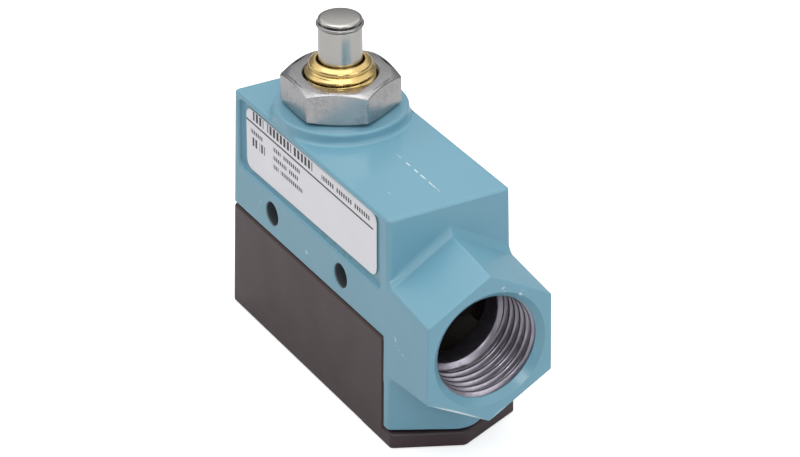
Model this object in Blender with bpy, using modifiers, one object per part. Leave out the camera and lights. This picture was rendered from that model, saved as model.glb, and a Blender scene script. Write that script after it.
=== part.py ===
"""Enclosed plunger limit switch: die-cast housing with a threaded conduit hub, a moulded
bottom cover, a threaded bushing with a sprung plunger, and a snap-action basic switch inside.

Frame: x = 0 midway between the two mounting holes, y = 0 at mid thickness, z = 0 on the
underside of the cover. The conduit hub points along +X and the plunger along +Z.
"""
from math import atan2, cos, degrees, pi, radians, sin

import bmesh
import bpy
from mathutils import Matrix, Vector

for old in list(bpy.data.objects):
    bpy.data.objects.remove(old, do_unlink=True)

MM = 0.001
GAP = 0.3 * MM

# ---- driving dimensions -------------------------------------------------------------
# outer skin: the walls lean inwards towards the top, as the die and the mould need
TOP_Z = 44.17 * MM
LEFT_BASE, LEFT_TOP = -28.6 * MM, -26.8 * MM
RIGHT_BASE, RIGHT_TOP = 30.06 * MM, 29.33 * MM
HALF_BASE, HALF_TOP = 12.45 * MM, 11.9 * MM
CORNER_R = 1.5 * MM
TOP_EDGE_R = 1.0 * MM

# parting between the housing and the cover
HOUSING_FOOT_Z = 21.1 * MM
COVER_TOP_Z = 20.7 * MM
COVER_RIGHT_X = 27.5 * MM
END_PLATE_X = 27.9 * MM
END_PLATE_FOOT_Z = 3.5 * MM
RIM_TOP_Z = 2.9 * MM
FLOOR_Z = 2.4 * MM

# the pointed end below the hub, in plan: the two flanks run to a rounded nose
NOSE_SLOPE = 0.532
PLATE_NOSE_X, PLATE_NOSE_R = 36.36 * MM, 6.9 * MM
RIM_SLOPE = 0.446
RIM_NOSE_X, RIM_NOSE_R = 36.35 * MM, 1.2 * MM

# mounting holes
HOLE_PITCH = 25.4 * MM
HOLE_Z = 25.45 * MM
HOLE_R = 2.15 * MM

# conduit hub: hexagon with points up and down, tapering towards its face
HUB_Z = 22.76 * MM
HUB_FACE_X = 43.12 * MM
HUB_ROOT_X = 29.8 * MM
HUB_ROOT_POINT, HUB_ROOT_FLAT = 15.95 * MM, 8.8 * MM
HUB_FACE_POINT, HUB_FACE_FLAT = 14.2 * MM, 7.4 * MM
HUB_FLARE = 1.4 * MM
HUB_MOUTH_R = 10.65 * MM
HUB_THREAD_R = 9.6 * MM
HUB_STEP_R = 8.4 * MM
HUB_STEP_X = 31.9 * MM

# plunger head
AXIS_X = -8.76 * MM
BOSS_R, BOSS_Z = 11.85 * MM, 46.3 * MM
BUSHING_R, BUSHING_Z, BUSHING_FOOT_Z = 6.35 * MM, 55.2 * MM, 38.3 * MM
NUT_POINT_R, NUT_LOW_Z, NUT_HIGH_Z = 10.6 * MM, 46.6 * MM, 52.5 * MM
NUT_TURN = radians(27.7)
PLUNGER_R, PLUNGER_Z, PLUNGER_FOOT_Z = 3.9 * MM, 63.3 * MM, 44.6 * MM
RING_Z, RING_R = 62.0 * MM, 4.26 * MM

# cavity of the housing and the basic switch inside it
CAVITY_X0, CAVITY_X1 = -25.3 * MM, 27.0 * MM
CAVITY_Y = 9.7 * MM
CAVITY_Z = 41.9 * MM
CASE_X, CASE_Y = 24.6 * MM, 8.7 * MM
CASE_LOW_Z, CASE_SPLIT_Z, CASE_HIGH_Z = 18.0 * MM, 29.0 * MM, 37.2 * MM
CASE_ROOM_X, CASE_ROOM_Y, CASE_ROOF_Z = 21.3 * MM, 6.0 * MM, 34.9 * MM
PIN_TOP_Z, PIN_LOW_Z = 41.3 * MM, 32.2 * MM
BLADE_LOW_Z, BLADE_HIGH_Z = 31.5 * MM, 31.8 * MM
BLADE_PIVOT = Vector((-19.0 * MM, 0.0, 31.65 * MM))
CONTACT_X = 16.0 * MM
TERMINALS = {"com": -17.5 * MM, "no": 3.0 * MM, "nc": 18.0 * MM}

# ---- collections and materials ----------------------------------------------------
parts = bpy.data.collections.new("limit_switch")
cutters = bpy.data.collections.new("cutters")
bpy.context.scene.collection.children.link(parts)
bpy.context.scene.collection.children.link(cutters)


def finish_of(name, colour, roughness, metallic=0.0):
    """A plain Principled material."""
    material = bpy.data.materials.new(name)
    material.use_nodes = True
    shader = material.node_tree.nodes["Principled BSDF"]
    shader.inputs["Base Color"].default_value = (*colour, 1.0)
    shader.inputs["Roughness"].default_value = roughness
    shader.inputs["Metallic"].default_value = metallic
    return material


TEAL = finish_of("teal_paint", (0.205, 0.412, 0.515), 0.35)
PHENOLIC = finish_of("dark_phenolic", (0.080, 0.062, 0.062), 0.4)
RUBBER = finish_of("black_rubber", (0.03, 0.03, 0.03), 0.8)
VINYL = finish_of("white_vinyl", (0.74, 0.73, 0.75), 0.45)
BRASS = finish_of("turned_brass", (0.72, 0.47, 0.15), 0.25, 1.0)
ZINC = finish_of("zinc_plate", (0.55, 0.55, 0.53), 0.35, 1.0)
STEEL = finish_of("stainless_steel", (0.60, 0.59, 0.57), 0.28, 1.0)
SPRING = finish_of("spring_steel", (0.45, 0.45, 0.45), 0.35, 1.0)
BERYLLIUM = finish_of("spring_copper", (0.75, 0.42, 0.24), 0.3, 1.0)
SILVER = finish_of("contact_silver", (0.85, 0.85, 0.83), 0.25, 1.0)
NATURAL = finish_of("red_nylon", (0.45, 0.08, 0.05), 0.45)
FIBRE = finish_of("grey_fibre", (0.28, 0.27, 0.25), 0.9)
GREEN = finish_of("green_dye_steel", (0.05, 0.30, 0.10), 0.4, 0.8)


# ---- modelling helpers -----------------------------------------------------------
def place(name, mesh, material=None):
    """Link a mesh as a part, or as a cutter when it has no material."""
    obj = bpy.data.objects.new(name, mesh)
    if material is None:
        cutters.objects.link(obj)
        obj.hide_render = True
        obj.display_type = "WIRE"
    else:
        parts.objects.link(obj)
        obj.data.materials.append(material)
        mesh.shade_smooth()
        mesh.set_sharp_from_angle(angle=radians(35))
    return obj


def from_bmesh(name, bm, material=None):
    """Turn a bmesh into a placed object."""
    bmesh.ops.recalc_face_normals(bm, faces=bm.faces[:])
    mesh = bpy.data.meshes.new(name)
    bm.to_mesh(mesh)
    bm.free()
    return place(name, mesh, material)


def cube(low, high):
    """A bmesh box between two corners."""
    bm = bmesh.new()
    bmesh.ops.create_cube(bm, size=1.0)
    low, high = Vector(low), Vector(high)
    for vert in bm.verts:
        vert.co = Vector(low[i] + (vert.co[i] + 0.5) * (high[i] - low[i]) for i in range(3))
    return bm


def box(name, low, high, material=None, radius=0.0):
    """A box, with every edge rounded when a radius is given."""
    bm = cube(low, high)
    if radius:
        bmesh.ops.bevel(bm, geom=bm.edges[:], offset=radius, segments=1, affect="EDGES")
    return from_bmesh(name, bm, material)


def turned(name, profile, place_at, material=None, steps=32, along="Z"):
    """Spin (radius, height) points; they run down the outer side. A profile that starts
    and ends on the axis makes a solid, any other is closed into a ring."""
    mesh = bpy.data.meshes.new(name)
    count = len(profile)
    solid = profile[0][0] == 0.0 and profile[-1][0] == 0.0
    edges = [(i, (i + 1) % count) for i in range(count - 1 if solid else count)]
    mesh.from_pydata([(radius, 0.0, height) for radius, height in profile], edges, [])
    obj = place(name, mesh, material)
    obj.location = place_at
    if along == "X":
        obj.rotation_euler = (0.0, pi / 2, 0.0)
    if along == "Y":
        obj.rotation_euler = (-pi / 2, 0.0, 0.0)
    screw = obj.modifiers.new("spin", "SCREW")
    screw.steps = steps
    screw.render_steps = steps
    screw.use_merge_vertices = True
    screw.merge_threshold = 0.00001
    screw.use_smooth_shade = True
    return obj


def rod(name, radius, low, high, place_at, material=None, steps=24, along="Z"):
    """A plain turned cylinder."""
    profile = [(0.0, high), (radius, high), (radius, low), (0.0, low)]
    return turned(name, profile, place_at, material, steps, along)


def prism(name, outline, low, high, material=None):
    """A flat outline in X and Y, given thickness from low to high."""
    curve = bpy.data.curves.new(name, "CURVE")
    curve.dimensions = "2D"
    curve.fill_mode = "BOTH"
    curve.extrude = (high - low) / 2
    loops = outline if isinstance(outline[0][0], tuple) else [outline]
    for loop in loops:
        spline = curve.splines.new("POLY")
        spline.points.add(len(loop) - 1)
        for point, (x, y) in zip(spline.points, loop):
            point.co = (x, y, 0.0, 1.0)
        spline.use_cyclic_u = True
    source = bpy.data.objects.new(name, curve)
    bpy.context.scene.collection.objects.link(source)
    evaluated = source.evaluated_get(bpy.context.evaluated_depsgraph_get())
    mesh = bpy.data.meshes.new_from_object(evaluated)
    bpy.data.objects.remove(source)
    bm = bmesh.new()
    bm.from_mesh(mesh)
    bmesh.ops.remove_doubles(bm, verts=bm.verts[:], dist=0.00001)
    bmesh.ops.translate(bm, verts=bm.verts[:], vec=(0.0, 0.0, (low + high) / 2))
    return from_bmesh(name, bm, material)


def arc(centre, radius, start, end, count):
    """Points on a circle, from start to end degrees."""
    turns = [radians(start + (end - start) * i / count) for i in range(count + 1)]
    return [(centre[0] + radius * cos(t), centre[1] + radius * sin(t)) for t in turns]


def combine(target, tool, operation):
    """Add one Boolean modifier."""
    boolean = target.modifiers.new(tool.name, "BOOLEAN")
    boolean.operation = operation
    boolean.object = tool
    return target


def cut(target, *tools):
    """Take each tool out of the target."""
    for tool in tools:
        combine(target, tool, "DIFFERENCE")
    return target


def join(target, *tools):
    """Add each tool to the target."""
    for tool in tools:
        combine(target, tool, "UNION")
    return target


def coil(name, radius, wire, low, high, turns, material):
    """A compression spring on the plunger's axis, as a round wire along a helix."""
    per_turn = 14
    count = int(turns * per_turn)
    curve = bpy.data.curves.new(name, "CURVE")
    curve.dimensions = "3D"
    curve.bevel_depth = wire / 2
    curve.bevel_resolution = 1
    curve.use_fill_caps = True
    spline = curve.splines.new("POLY")
    spline.points.add(count)
    span = high - low - wire
    for i, point in enumerate(spline.points):
        turn = 2 * pi * i / per_turn
        point.co = (radius * cos(turn), radius * sin(turn), low + wire / 2 + span * i / count, 1.0)
    obj = bpy.data.objects.new(name, curve)
    obj.location = (AXIS_X, 0.0, 0.0)
    curve.materials.append(material)
    parts.objects.link(obj)
    return obj


# ---- the leaning outer skin ------------------------------------------------------
def left_at(z):
    """X of the left end at a height."""
    return LEFT_BASE + (LEFT_TOP - LEFT_BASE) * z / TOP_Z


def right_at(z):
    """X of the right end at a height."""
    return RIGHT_BASE + (RIGHT_TOP - RIGHT_BASE) * z / TOP_Z


def half_at(z):
    """Half of the body's thickness at a height."""
    return HALF_BASE + (HALF_TOP - HALF_BASE) * z / TOP_Z


def leaning_block(low, high, right=None):
    """A bmesh block that follows the skin between two heights."""
    bm = cube((-1.0, -1.0, low), (1.0, 1.0, high))
    for vert in bm.verts:
        x, y, z = vert.co
        side = (right if right is not None else right_at(z)) if x > 0 else left_at(z)
        vert.co = (side, half_at(z) * y, z)
    return bm


def edges_where(bm, test):
    """The edges whose two ends both pass a test."""
    return [edge for edge in bm.edges if all(test(vert.co) for vert in edge.verts)]


def is_upright(edge):
    """True for an edge that rises from the low to the high end."""
    low, high = sorted(vert.co.z for vert in edge.verts)
    return high - low > 5 * MM


def nose_outline(slope, nose_x, nose_r, inner_x, half, corner_r):
    """Plan of the pointed end: straight flanks from two rounded corners to a round nose."""
    lean = atan2(slope, 1.0)
    centre_x = nose_x - nose_r / cos(lean)
    turn = degrees(lean)
    nose = arc((centre_x, 0.0), nose_r, -turn, turn, 8)
    corner_x = nose_x - slope * half
    reach = corner_r * (1 - sin(lean)) / cos(lean)
    centre = (corner_x - reach, -(half - corner_r))
    corner = arc(centre, corner_r, -90, -turn, 3)
    upper = [(x, -y) for x, y in reversed(corner)]
    return [(inner_x, -half)] + corner + nose + upper + [(inner_x, half)]


# ---- housing -----------------------------------------------------------------------
def hub_blank():
    """The hexagonal hub: sections carried along X, flared where they leave the end wall."""
    stations = [
        (HUB_ROOT_X - 1.5 * MM, HUB_FLARE, 0.0),
        (HUB_ROOT_X, HUB_FLARE, 0.0),
        (HUB_ROOT_X + 0.45 * MM, 0.5 * MM, 0.0),
        (HUB_ROOT_X + HUB_FLARE, 0.0, 0.1),
        (HUB_FACE_X - 0.4 * MM, 0.0, 1.0),
        (HUB_FACE_X, -0.4 * MM, 1.0),
    ]
    bm = bmesh.new()
    rings = []
    for x, grow, mix in stations:
        point = HUB_ROOT_POINT + (HUB_FACE_POINT - HUB_ROOT_POINT) * mix + grow * 1.15
        flat = HUB_ROOT_FLAT + (HUB_FACE_FLAT - HUB_ROOT_FLAT) * mix + grow * 0.8
        inset = 0.03 * MM if grow >= 0.0 else 0.4 * MM
        ring = bmesh.ops.create_circle(bm, segments=6, radius=point)["verts"]
        for i, vert in enumerate(ring):
            side = (0, 1, 1, 0, -1, -1)[i]
            rise = (1, 0.5, -0.5, -1, -0.5, 0.5)[i]
            z = HUB_Z + (point * rise if side == 0 else 2 * flat * rise)
            vert.co = (x, side * (half_at(z) - inset), z)
        rings.append(ring)
    for first, second in zip(rings, rings[1:]):
        for i in range(6):
            j = (i + 1) % 6
            bm.faces.new((first[i], first[j], second[j], second[i]))
    bm.faces.new(rings[0])
    bm.faces.new(rings[-1])
    return from_bmesh("hub_blank", bm)


def housing_blank():
    """The upper shell's outside: leaning block with rounded corners and top edges."""
    bm = leaning_block(HOUSING_FOOT_Z, TOP_Z)
    upright = [edge for edge in bm.edges if is_upright(edge)]
    bmesh.ops.bevel(bm, geom=upright, offset=CORNER_R, segments=3, profile=0.5, affect="EDGES")
    rim = edges_where(bm, lambda co: co.z > TOP_Z - 0.01 * MM)
    bmesh.ops.bevel(bm, geom=rim, offset=TOP_EDGE_R, segments=2, profile=0.5, affect="EDGES")
    return from_bmesh("housing", bm, TEAL)


def end_plate_blank():
    """The end wall's lower half, pointed in plan, leaning with the skin."""
    outline = nose_outline(NOSE_SLOPE, PLATE_NOSE_X, PLATE_NOSE_R, END_PLATE_X, HALF_BASE, 1.2 * MM)
    plate = prism("end_plate_blank", outline, END_PLATE_FOOT_Z, HOUSING_FOOT_Z + 1.2 * MM)
    for vert in plate.data.vertices:
        vert.co.y *= (half_at(vert.co.z) - 0.04 * MM) / HALF_BASE
    return plate


def build_housing():
    """Die-cast housing with boss, hub, pads, bores and the recess for the label."""
    housing = housing_blank()
    rim = 0.5 * MM
    boss_profile = [(0.0, BOSS_Z), (BOSS_R - rim, BOSS_Z), (BOSS_R, BOSS_Z - rim),
                    (BOSS_R, TOP_Z - MM), (0.0, TOP_Z - MM)]
    boss = turned("boss_blank", boss_profile, (AXIS_X, 0.0, 0.0), steps=48)
    join(housing, end_plate_blank(), hub_blank(), boss)
    room = box("room", (CAVITY_X0, -CAVITY_Y, 10 * MM), (CAVITY_X1, CAVITY_Y, CAVITY_Z))
    cut(housing, room)
    for i, x in enumerate((-HOLE_PITCH / 2, HOLE_PITCH / 2)):
        for side in (-1, 1):
            low, high = sorted((side * (CASE_Y + GAP), side * (CAVITY_Y + MM)))
            pad = rod(f"pad_{i}{side}", 4 * MM, low, high, (x, 0.0, HOLE_Z), along="Y", steps=20)
            join(housing, pad)
        bore = rod(f"mounting_bore_{i}", HOLE_R, -15 * MM, 15 * MM, (x, 0.0, HOLE_Z), along="Y")
        cut(housing, bore)
    mouth = [(0.0, 1.0 * MM), (HUB_MOUTH_R, 1.0 * MM), (HUB_MOUTH_R, -0.1 * MM),
             (HUB_THREAD_R, -1.4 * MM), (HUB_THREAD_R, HUB_STEP_X - HUB_FACE_X),
             (HUB_STEP_R, HUB_STEP_X - HUB_FACE_X - 0.3 * MM),
             (HUB_STEP_R, CAVITY_X1 - HUB_FACE_X - 2 * MM), (0.0, CAVITY_X1 - HUB_FACE_X - 2 * MM)]
    conduit = turned("conduit_bore", mouth, (HUB_FACE_X, 0.0, HUB_Z), steps=40, along="X")
    neck = rod("neck_bore", BUSHING_R + GAP, CAVITY_Z - MM, BOSS_Z + MM, (AXIS_X, 0.0, 0.0), steps=32)
    window = prism("label_recess", rounded_rectangle(51.8 * MM, 13.5 * MM, 1.2 * MM),
                   -0.9 * MM, 1.0 * MM)
    stand_on_front(window, 0.65 * MM, 36.25 * MM)
    thread = rod("cover_screw_bore", 2.05 * MM, 0.0, 11.9 * MM, (31.6 * MM, 0.0, 0.0), steps=16)
    earth = rod("ground_screw_bore", 1.8 * MM, 0.0, 31.3 * MM, (0.0, 7 * MM, 8.5 * MM),
                steps=16, along="X")
    cut(housing, conduit, neck, window, thread, earth)


def rounded_rectangle(width, height, radius):
    """Outline of a rectangle with round corners, centred on the origin."""
    corners = ((1, -1, -90), (1, 1, 0), (-1, 1, 90), (-1, -1, 180))
    points = []
    for sx, sy, start in corners:
        centre = (sx * (width / 2 - radius), sy * (height / 2 - radius))
        points += arc(centre, radius, start, start + 90, 3)
    return points


def stand_on_front(obj, x, z, out=0.0, tilt=0.0):
    """Stand a flat outline up against the leaning front face, its +Z pointing out of it."""
    lean = atan2(HALF_BASE - HALF_TOP, TOP_Z)
    turn = Matrix.Rotation(pi / 2 - lean, 4, "X") @ Matrix.Rotation(tilt, 4, "Z")
    outward = Vector((0.0, -cos(lean), sin(lean)))
    obj.matrix_world = Matrix.Translation(Vector((x, -half_at(z), z)) + outward * out) @ turn


def build_label():
    """Blank identification label, stuck in the recess."""
    plate = prism("label_plate", rounded_rectangle(47.6 * MM, 12.0 * MM, 1.8 * MM),
                  0.0, 0.2 * MM, VINYL)
    stand_on_front(plate, 0.6 * MM, 36.5 * MM, -0.75 * MM, radians(0.6))


# ---- bottom cover, its seal and its screw ------------------------------------------
def gasket_strips():
    """The seal's straight runs: (low corner, high corner) of each."""
    inner, outer = 10.15 * MM, 11.05 * MM
    low_z, high_z = 19.7 * MM, 20.9 * MM
    left_x = (-26.7 * MM, -25.8 * MM)
    leg_x = (26.5 * MM, 27.6 * MM)
    foot_x, foot_z = (28.6 * MM, 29.6 * MM), (2.1 * MM, 3.2 * MM)
    runs = [((left_x[0], -outer, low_z), (left_x[1], outer, high_z))]
    for side in (-1, 1):
        y0, y1 = sorted((side * inner, side * outer))
        runs.append(((left_x[0], y0, low_z), (leg_x[1], y1, high_z)))
        runs.append(((leg_x[0], y0, foot_z[0]), (leg_x[1], y1, high_z)))
        runs.append(((leg_x[0], y0, foot_z[0]), (foot_x[1], y1, foot_z[1])))
    runs.append(((foot_x[0], -outer, foot_z[0]), (foot_x[1], outer, foot_z[1])))
    return runs


def build_gasket():
    """One-piece rubber seal that runs round the cover's mouth."""
    runs = gasket_strips()
    gasket = box("cover_gasket", *runs[0], RUBBER)
    for i, (low, high) in enumerate(runs[1:]):
        join(gasket, box(f"seal_run_{i}", low, high))


def off_right_end(edges):
    """Leave out the edges that lie along the cover's open right end."""
    return [e for e in edges if not all(v.co.x > COVER_RIGHT_X - MM for v in e.verts)]


def build_cover():
    """Moulded bottom cover: a box open at the top and at the hub end, on a pointed floor."""
    bm = leaning_block(0.0, COVER_TOP_Z, COVER_RIGHT_X)
    left_edges = [e for e in bm.edges if is_upright(e) and all(v.co.x < 0 for v in e.verts)]
    bmesh.ops.bevel(bm, geom=left_edges, offset=CORNER_R, segments=3, profile=0.5, affect="EDGES")
    top = off_right_end(edges_where(bm, lambda co: co.z > COVER_TOP_Z - 0.01 * MM))
    bmesh.ops.bevel(bm, geom=top, offset=1.0 * MM, segments=2, profile=0.5, affect="EDGES")
    foot = off_right_end(edges_where(bm, lambda co: co.z < 0.01 * MM))
    bmesh.ops.bevel(bm, geom=foot, offset=0.5 * MM, segments=1, affect="EDGES")
    cover = from_bmesh("cover", bm, PHENOLIC)
    outline = nose_outline(RIM_SLOPE, RIM_NOSE_X, RIM_NOSE_R, 22 * MM, HALF_BASE - 0.04 * MM, 1.2 * MM)
    rim = prism("rim_blank", outline, 0.02 * MM, RIM_TOP_Z)
    bevel = rim.modifiers.new("edges", "BEVEL")
    bevel.width = 0.4 * MM
    bevel.segments = 1
    bevel.limit_method = "ANGLE"
    bevel.angle_limit = radians(60)
    join(cover, rim)
    room = box("cover_room", (-25.5 * MM, -10 * MM, FLOOR_Z), (28.2 * MM, 10 * MM, 30 * MM))
    cut(cover, room)
    clear = 0.15 * MM
    for i, (low, high) in enumerate(gasket_strips()):
        grown_low = [value - clear for value in low]
        grown_high = [value + clear for value in high]
        cut(cover, box(f"seal_track_{i}", grown_low, grown_high))
    lip = box("leg_opening", (26.35 * MM, -11.2 * MM, FLOOR_Z), (28.2 * MM, 11.2 * MM, 30 * MM))
    head = rod("screw_head_bore", 3.2 * MM, -MM, 1.7 * MM, (31.6 * MM, 0.0, 0.0), steps=20)
    shank = rod("screw_shank_bore", 2.05 * MM, 0.0, 5 * MM, (31.6 * MM, 0.0, 0.0), steps=16)
    cut(cover, lip, head, shank)


def slotted_screw(name, head_r, head_h, shank_r, length, place_at, material, along="Z", turn=0.0):
    """A cheese-head screw: the head's underside is at the origin, the shank runs up the axis."""
    rim = 0.3 * MM
    profile = [(0.0, length), (shank_r - rim, length), (shank_r, length - rim), (shank_r, 0.0),
               (head_r, 0.0), (head_r, rim - head_h), (head_r - rim, -head_h), (0.0, -head_h)]
    screw = turned(name, profile, place_at, material, 20, along)
    slot = cube((-head_r * 1.2, -0.35 * MM, -head_h - MM), (head_r * 1.2, 0.35 * MM, -head_h * 0.45))
    bmesh.ops.rotate(slot, verts=slot.verts[:], matrix=Matrix.Rotation(turn, 3, "Z"))
    groove = from_bmesh(f"{name}_slot", slot)
    groove.location = place_at
    groove.rotation_euler = screw.rotation_euler
    cut(screw, groove)
    return screw


# ---- plunger head ------------------------------------------------------------------
def on_axis(z=0.0):
    """A point on the plunger's axis."""
    return (AXIS_X, 0.0, z)


def build_bushing():
    """Threaded brass bushing: open rim, guide bore with a seal groove, wide spring room."""
    rim = 0.5 * MM
    r = BUSHING_R
    outer = [(r - rim, BUSHING_Z), (r, BUSHING_Z - rim), (r, BUSHING_FOOT_Z + rim),
             (r - rim, BUSHING_FOOT_Z)]
    inner = [(5.3 * MM, BUSHING_FOOT_Z), (5.3 * MM, 50.0 * MM), (4.15 * MM, 50.0 * MM),
             (4.15 * MM, 51.2 * MM), (5.3 * MM, 51.2 * MM), (5.3 * MM, 52.6 * MM),
             (4.15 * MM, 52.6 * MM), (4.15 * MM, 53.6 * MM), (5.2 * MM, 54.0 * MM),
             (5.4 * MM, BUSHING_Z)]
    turned("threaded_bushing", outer + inner, on_axis(), BRASS, steps=40)
    seal = [(4.65 * MM + 0.42 * MM * cos(t), 51.9 * MM + 0.42 * MM * sin(t))
            for t in (pi / 2 - 2 * pi * i / 8 for i in range(8))]
    turned("plunger_seal", seal, on_axis(), RUBBER, steps=28)
    seat = [(4.95 * MM, 39.2 * MM), (4.95 * MM, 38.6 * MM), (4.2 * MM, 38.6 * MM), (4.2 * MM, 39.2 * MM)]
    turned("spring_seat", seat, on_axis(), ZINC, steps=28)


def build_nut():
    """Hexagon lock nut, chamfered at both faces."""
    bm = bmesh.new()
    low, high = NUT_LOW_Z, NUT_HIGH_Z
    bmesh.ops.create_cone(bm, cap_ends=True, segments=6, radius1=NUT_POINT_R,
                          radius2=NUT_POINT_R, depth=high - low)
    turn = Matrix.Rotation(NUT_TURN, 4, "Z")
    bmesh.ops.transform(bm, matrix=Matrix.Translation(on_axis((low + high) / 2)) @ turn,
                        verts=bm.verts[:])
    nut = from_bmesh("lock_nut", bm, ZINC)
    flat_r = NUT_POINT_R * cos(pi / 6)
    drop = 0.9 * MM
    envelope = [(0.0, high + 0.01 * MM), (flat_r - 0.2 * MM, high + 0.01 * MM),
                (NUT_POINT_R + 0.4 * MM, high - drop), (NUT_POINT_R + 0.4 * MM, low + 0.5 * MM),
                (flat_r, low - 0.01 * MM), (0.0, low - 0.01 * MM)]
    combine(nut, turned("nut_envelope", envelope, on_axis(), steps=48), "INTERSECT")
    cut(nut, rod("nut_bore", BUSHING_R + GAP, low - MM, high + MM, on_axis(), steps=32))


def build_plunger():
    """Turned plunger: grooved for its ring, with a shoulder, hollow below for the spring."""
    r, rim = PLUNGER_R, 0.5 * MM
    groove = 3.4 * MM
    profile = [(0.0, PLUNGER_Z), (r - rim, PLUNGER_Z), (r, PLUNGER_Z - rim), (r, RING_Z + 0.45 * MM),
               (groove, RING_Z + 0.45 * MM), (groove, RING_Z - 0.45 * MM), (r, RING_Z - 0.45 * MM),
               (r, 49.7 * MM), (5.0 * MM, 49.7 * MM), (5.0 * MM, 48.6 * MM), (r, 48.6 * MM),
               (r, PLUNGER_FOOT_Z), (2.1 * MM, PLUNGER_FOOT_Z), (2.1 * MM, 45.6 * MM),
               (2.9 * MM, 45.8 * MM), (2.9 * MM, 58.0 * MM), (0.0, 58.4 * MM)]
    turned("plunger", profile, on_axis(), STEEL, steps=32)
    ring = [(RING_R - 0.1 * MM, RING_Z + 0.25 * MM), (RING_R, RING_Z + 0.15 * MM),
            (RING_R, RING_Z - 0.15 * MM), (RING_R - 0.1 * MM, RING_Z - 0.25 * MM),
            (3.65 * MM, RING_Z - 0.25 * MM), (3.65 * MM, RING_Z + 0.25 * MM)]
    turned("plunger_ring", ring, on_axis(), SPRING, steps=32)
    driver = [(0.0, 49.7 * MM), (2.4 * MM, 49.7 * MM), (2.6 * MM, 49.5 * MM), (2.6 * MM, 48.6 * MM),
              (1.8 * MM, 48.6 * MM), (1.8 * MM, 42.0 * MM), (1.2 * MM, 41.6 * MM), (0.0, 41.6 * MM)]
    turned("driver_pin", driver, on_axis(), STEEL, steps=20)
    coil("return_spring", 4.6 * MM, 0.7 * MM, 39.5 * MM, 48.3 * MM, 4, SPRING)
    coil("overtravel_spring", 2.2 * MM, 0.5 * MM, 50.0 * MM, 57.7 * MM, 4, SPRING)


# ---- basic switch ------------------------------------------------------------------
def build_switch_case():
    """The two moulded halves of the basic switch and the rivets that close them."""
    base = box("switch_base", (-CASE_X, -CASE_Y, CASE_LOW_Z), (CASE_X, CASE_Y, CASE_SPLIT_Z - GAP / 2),
               PHENOLIC, 0.5 * MM)
    lid = box("switch_lid", (-CASE_X, -CASE_Y, CASE_SPLIT_Z + GAP / 2), (CASE_X, CASE_Y, CASE_HIGH_Z),
              PHENOLIC, 0.5 * MM)
    room = box("case_room", (-CASE_ROOM_X, -CASE_ROOM_Y, CASE_SPLIT_Z - MM),
               (CASE_ROOM_X, CASE_ROOM_Y, CASE_ROOF_Z))
    pin_bore = rod("pin_bore", 1.9 * MM, CASE_ROOF_Z - MM, CASE_HIGH_Z + MM, on_axis(), steps=20)
    cut(lid, room, pin_bore)
    for i, x in enumerate((-HOLE_PITCH / 2, HOLE_PITCH / 2)):
        cut(base, rod(f"case_bore_{i}", HOLE_R, -15 * MM, 15 * MM, (x, 0.0, HOLE_Z), along="Y"))
    for name, x in TERMINALS.items():
        cut(base, rod(f"screw_bore_{name}", 1.8 * MM, CASE_LOW_Z - MM, 21.4 * MM, (x, 0.0, 0.0), steps=16))
    for name, tab_x in (("com", -20.6 * MM), ("no", 7.1 * MM), ("nc", 20.6 * MM)):
        slot = box(f"tab_slot_{name}", (tab_x - 0.6 * MM, -2.3 * MM, CASE_LOW_Z - MM),
                   (tab_x + 0.6 * MM, 2.3 * MM, CASE_SPLIT_Z + MM))
        cut(base, slot)
    for name, x, y in (("left", -23.0 * MM, 7.1 * MM), ("right", 23.0 * MM, -7.1 * MM)):
        bore = rod(f"rivet_bore_{name}", 1.1 * MM, CASE_LOW_Z - MM, CASE_HIGH_Z + MM, (x, y, 0.0), steps=16)
        cut(base, bore)
        cut(lid, bore)
        head, shank = 1.4 * MM, 0.8 * MM
        top, foot = CASE_HIGH_Z + GAP, CASE_LOW_Z - GAP
        profile = [(0.0, top + 0.5 * MM), (0.9 * MM, top + 0.5 * MM), (head, top + 0.2 * MM), (head, top),
                   (shank, top), (shank, foot), (head, foot), (head, foot - 0.2 * MM),
                   (0.9 * MM, foot - 0.5 * MM), (0.0, foot - 0.5 * MM)]
        turned(f"case_rivet_{name}", profile, (x, y, 0.0), BRASS, steps=16)


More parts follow.
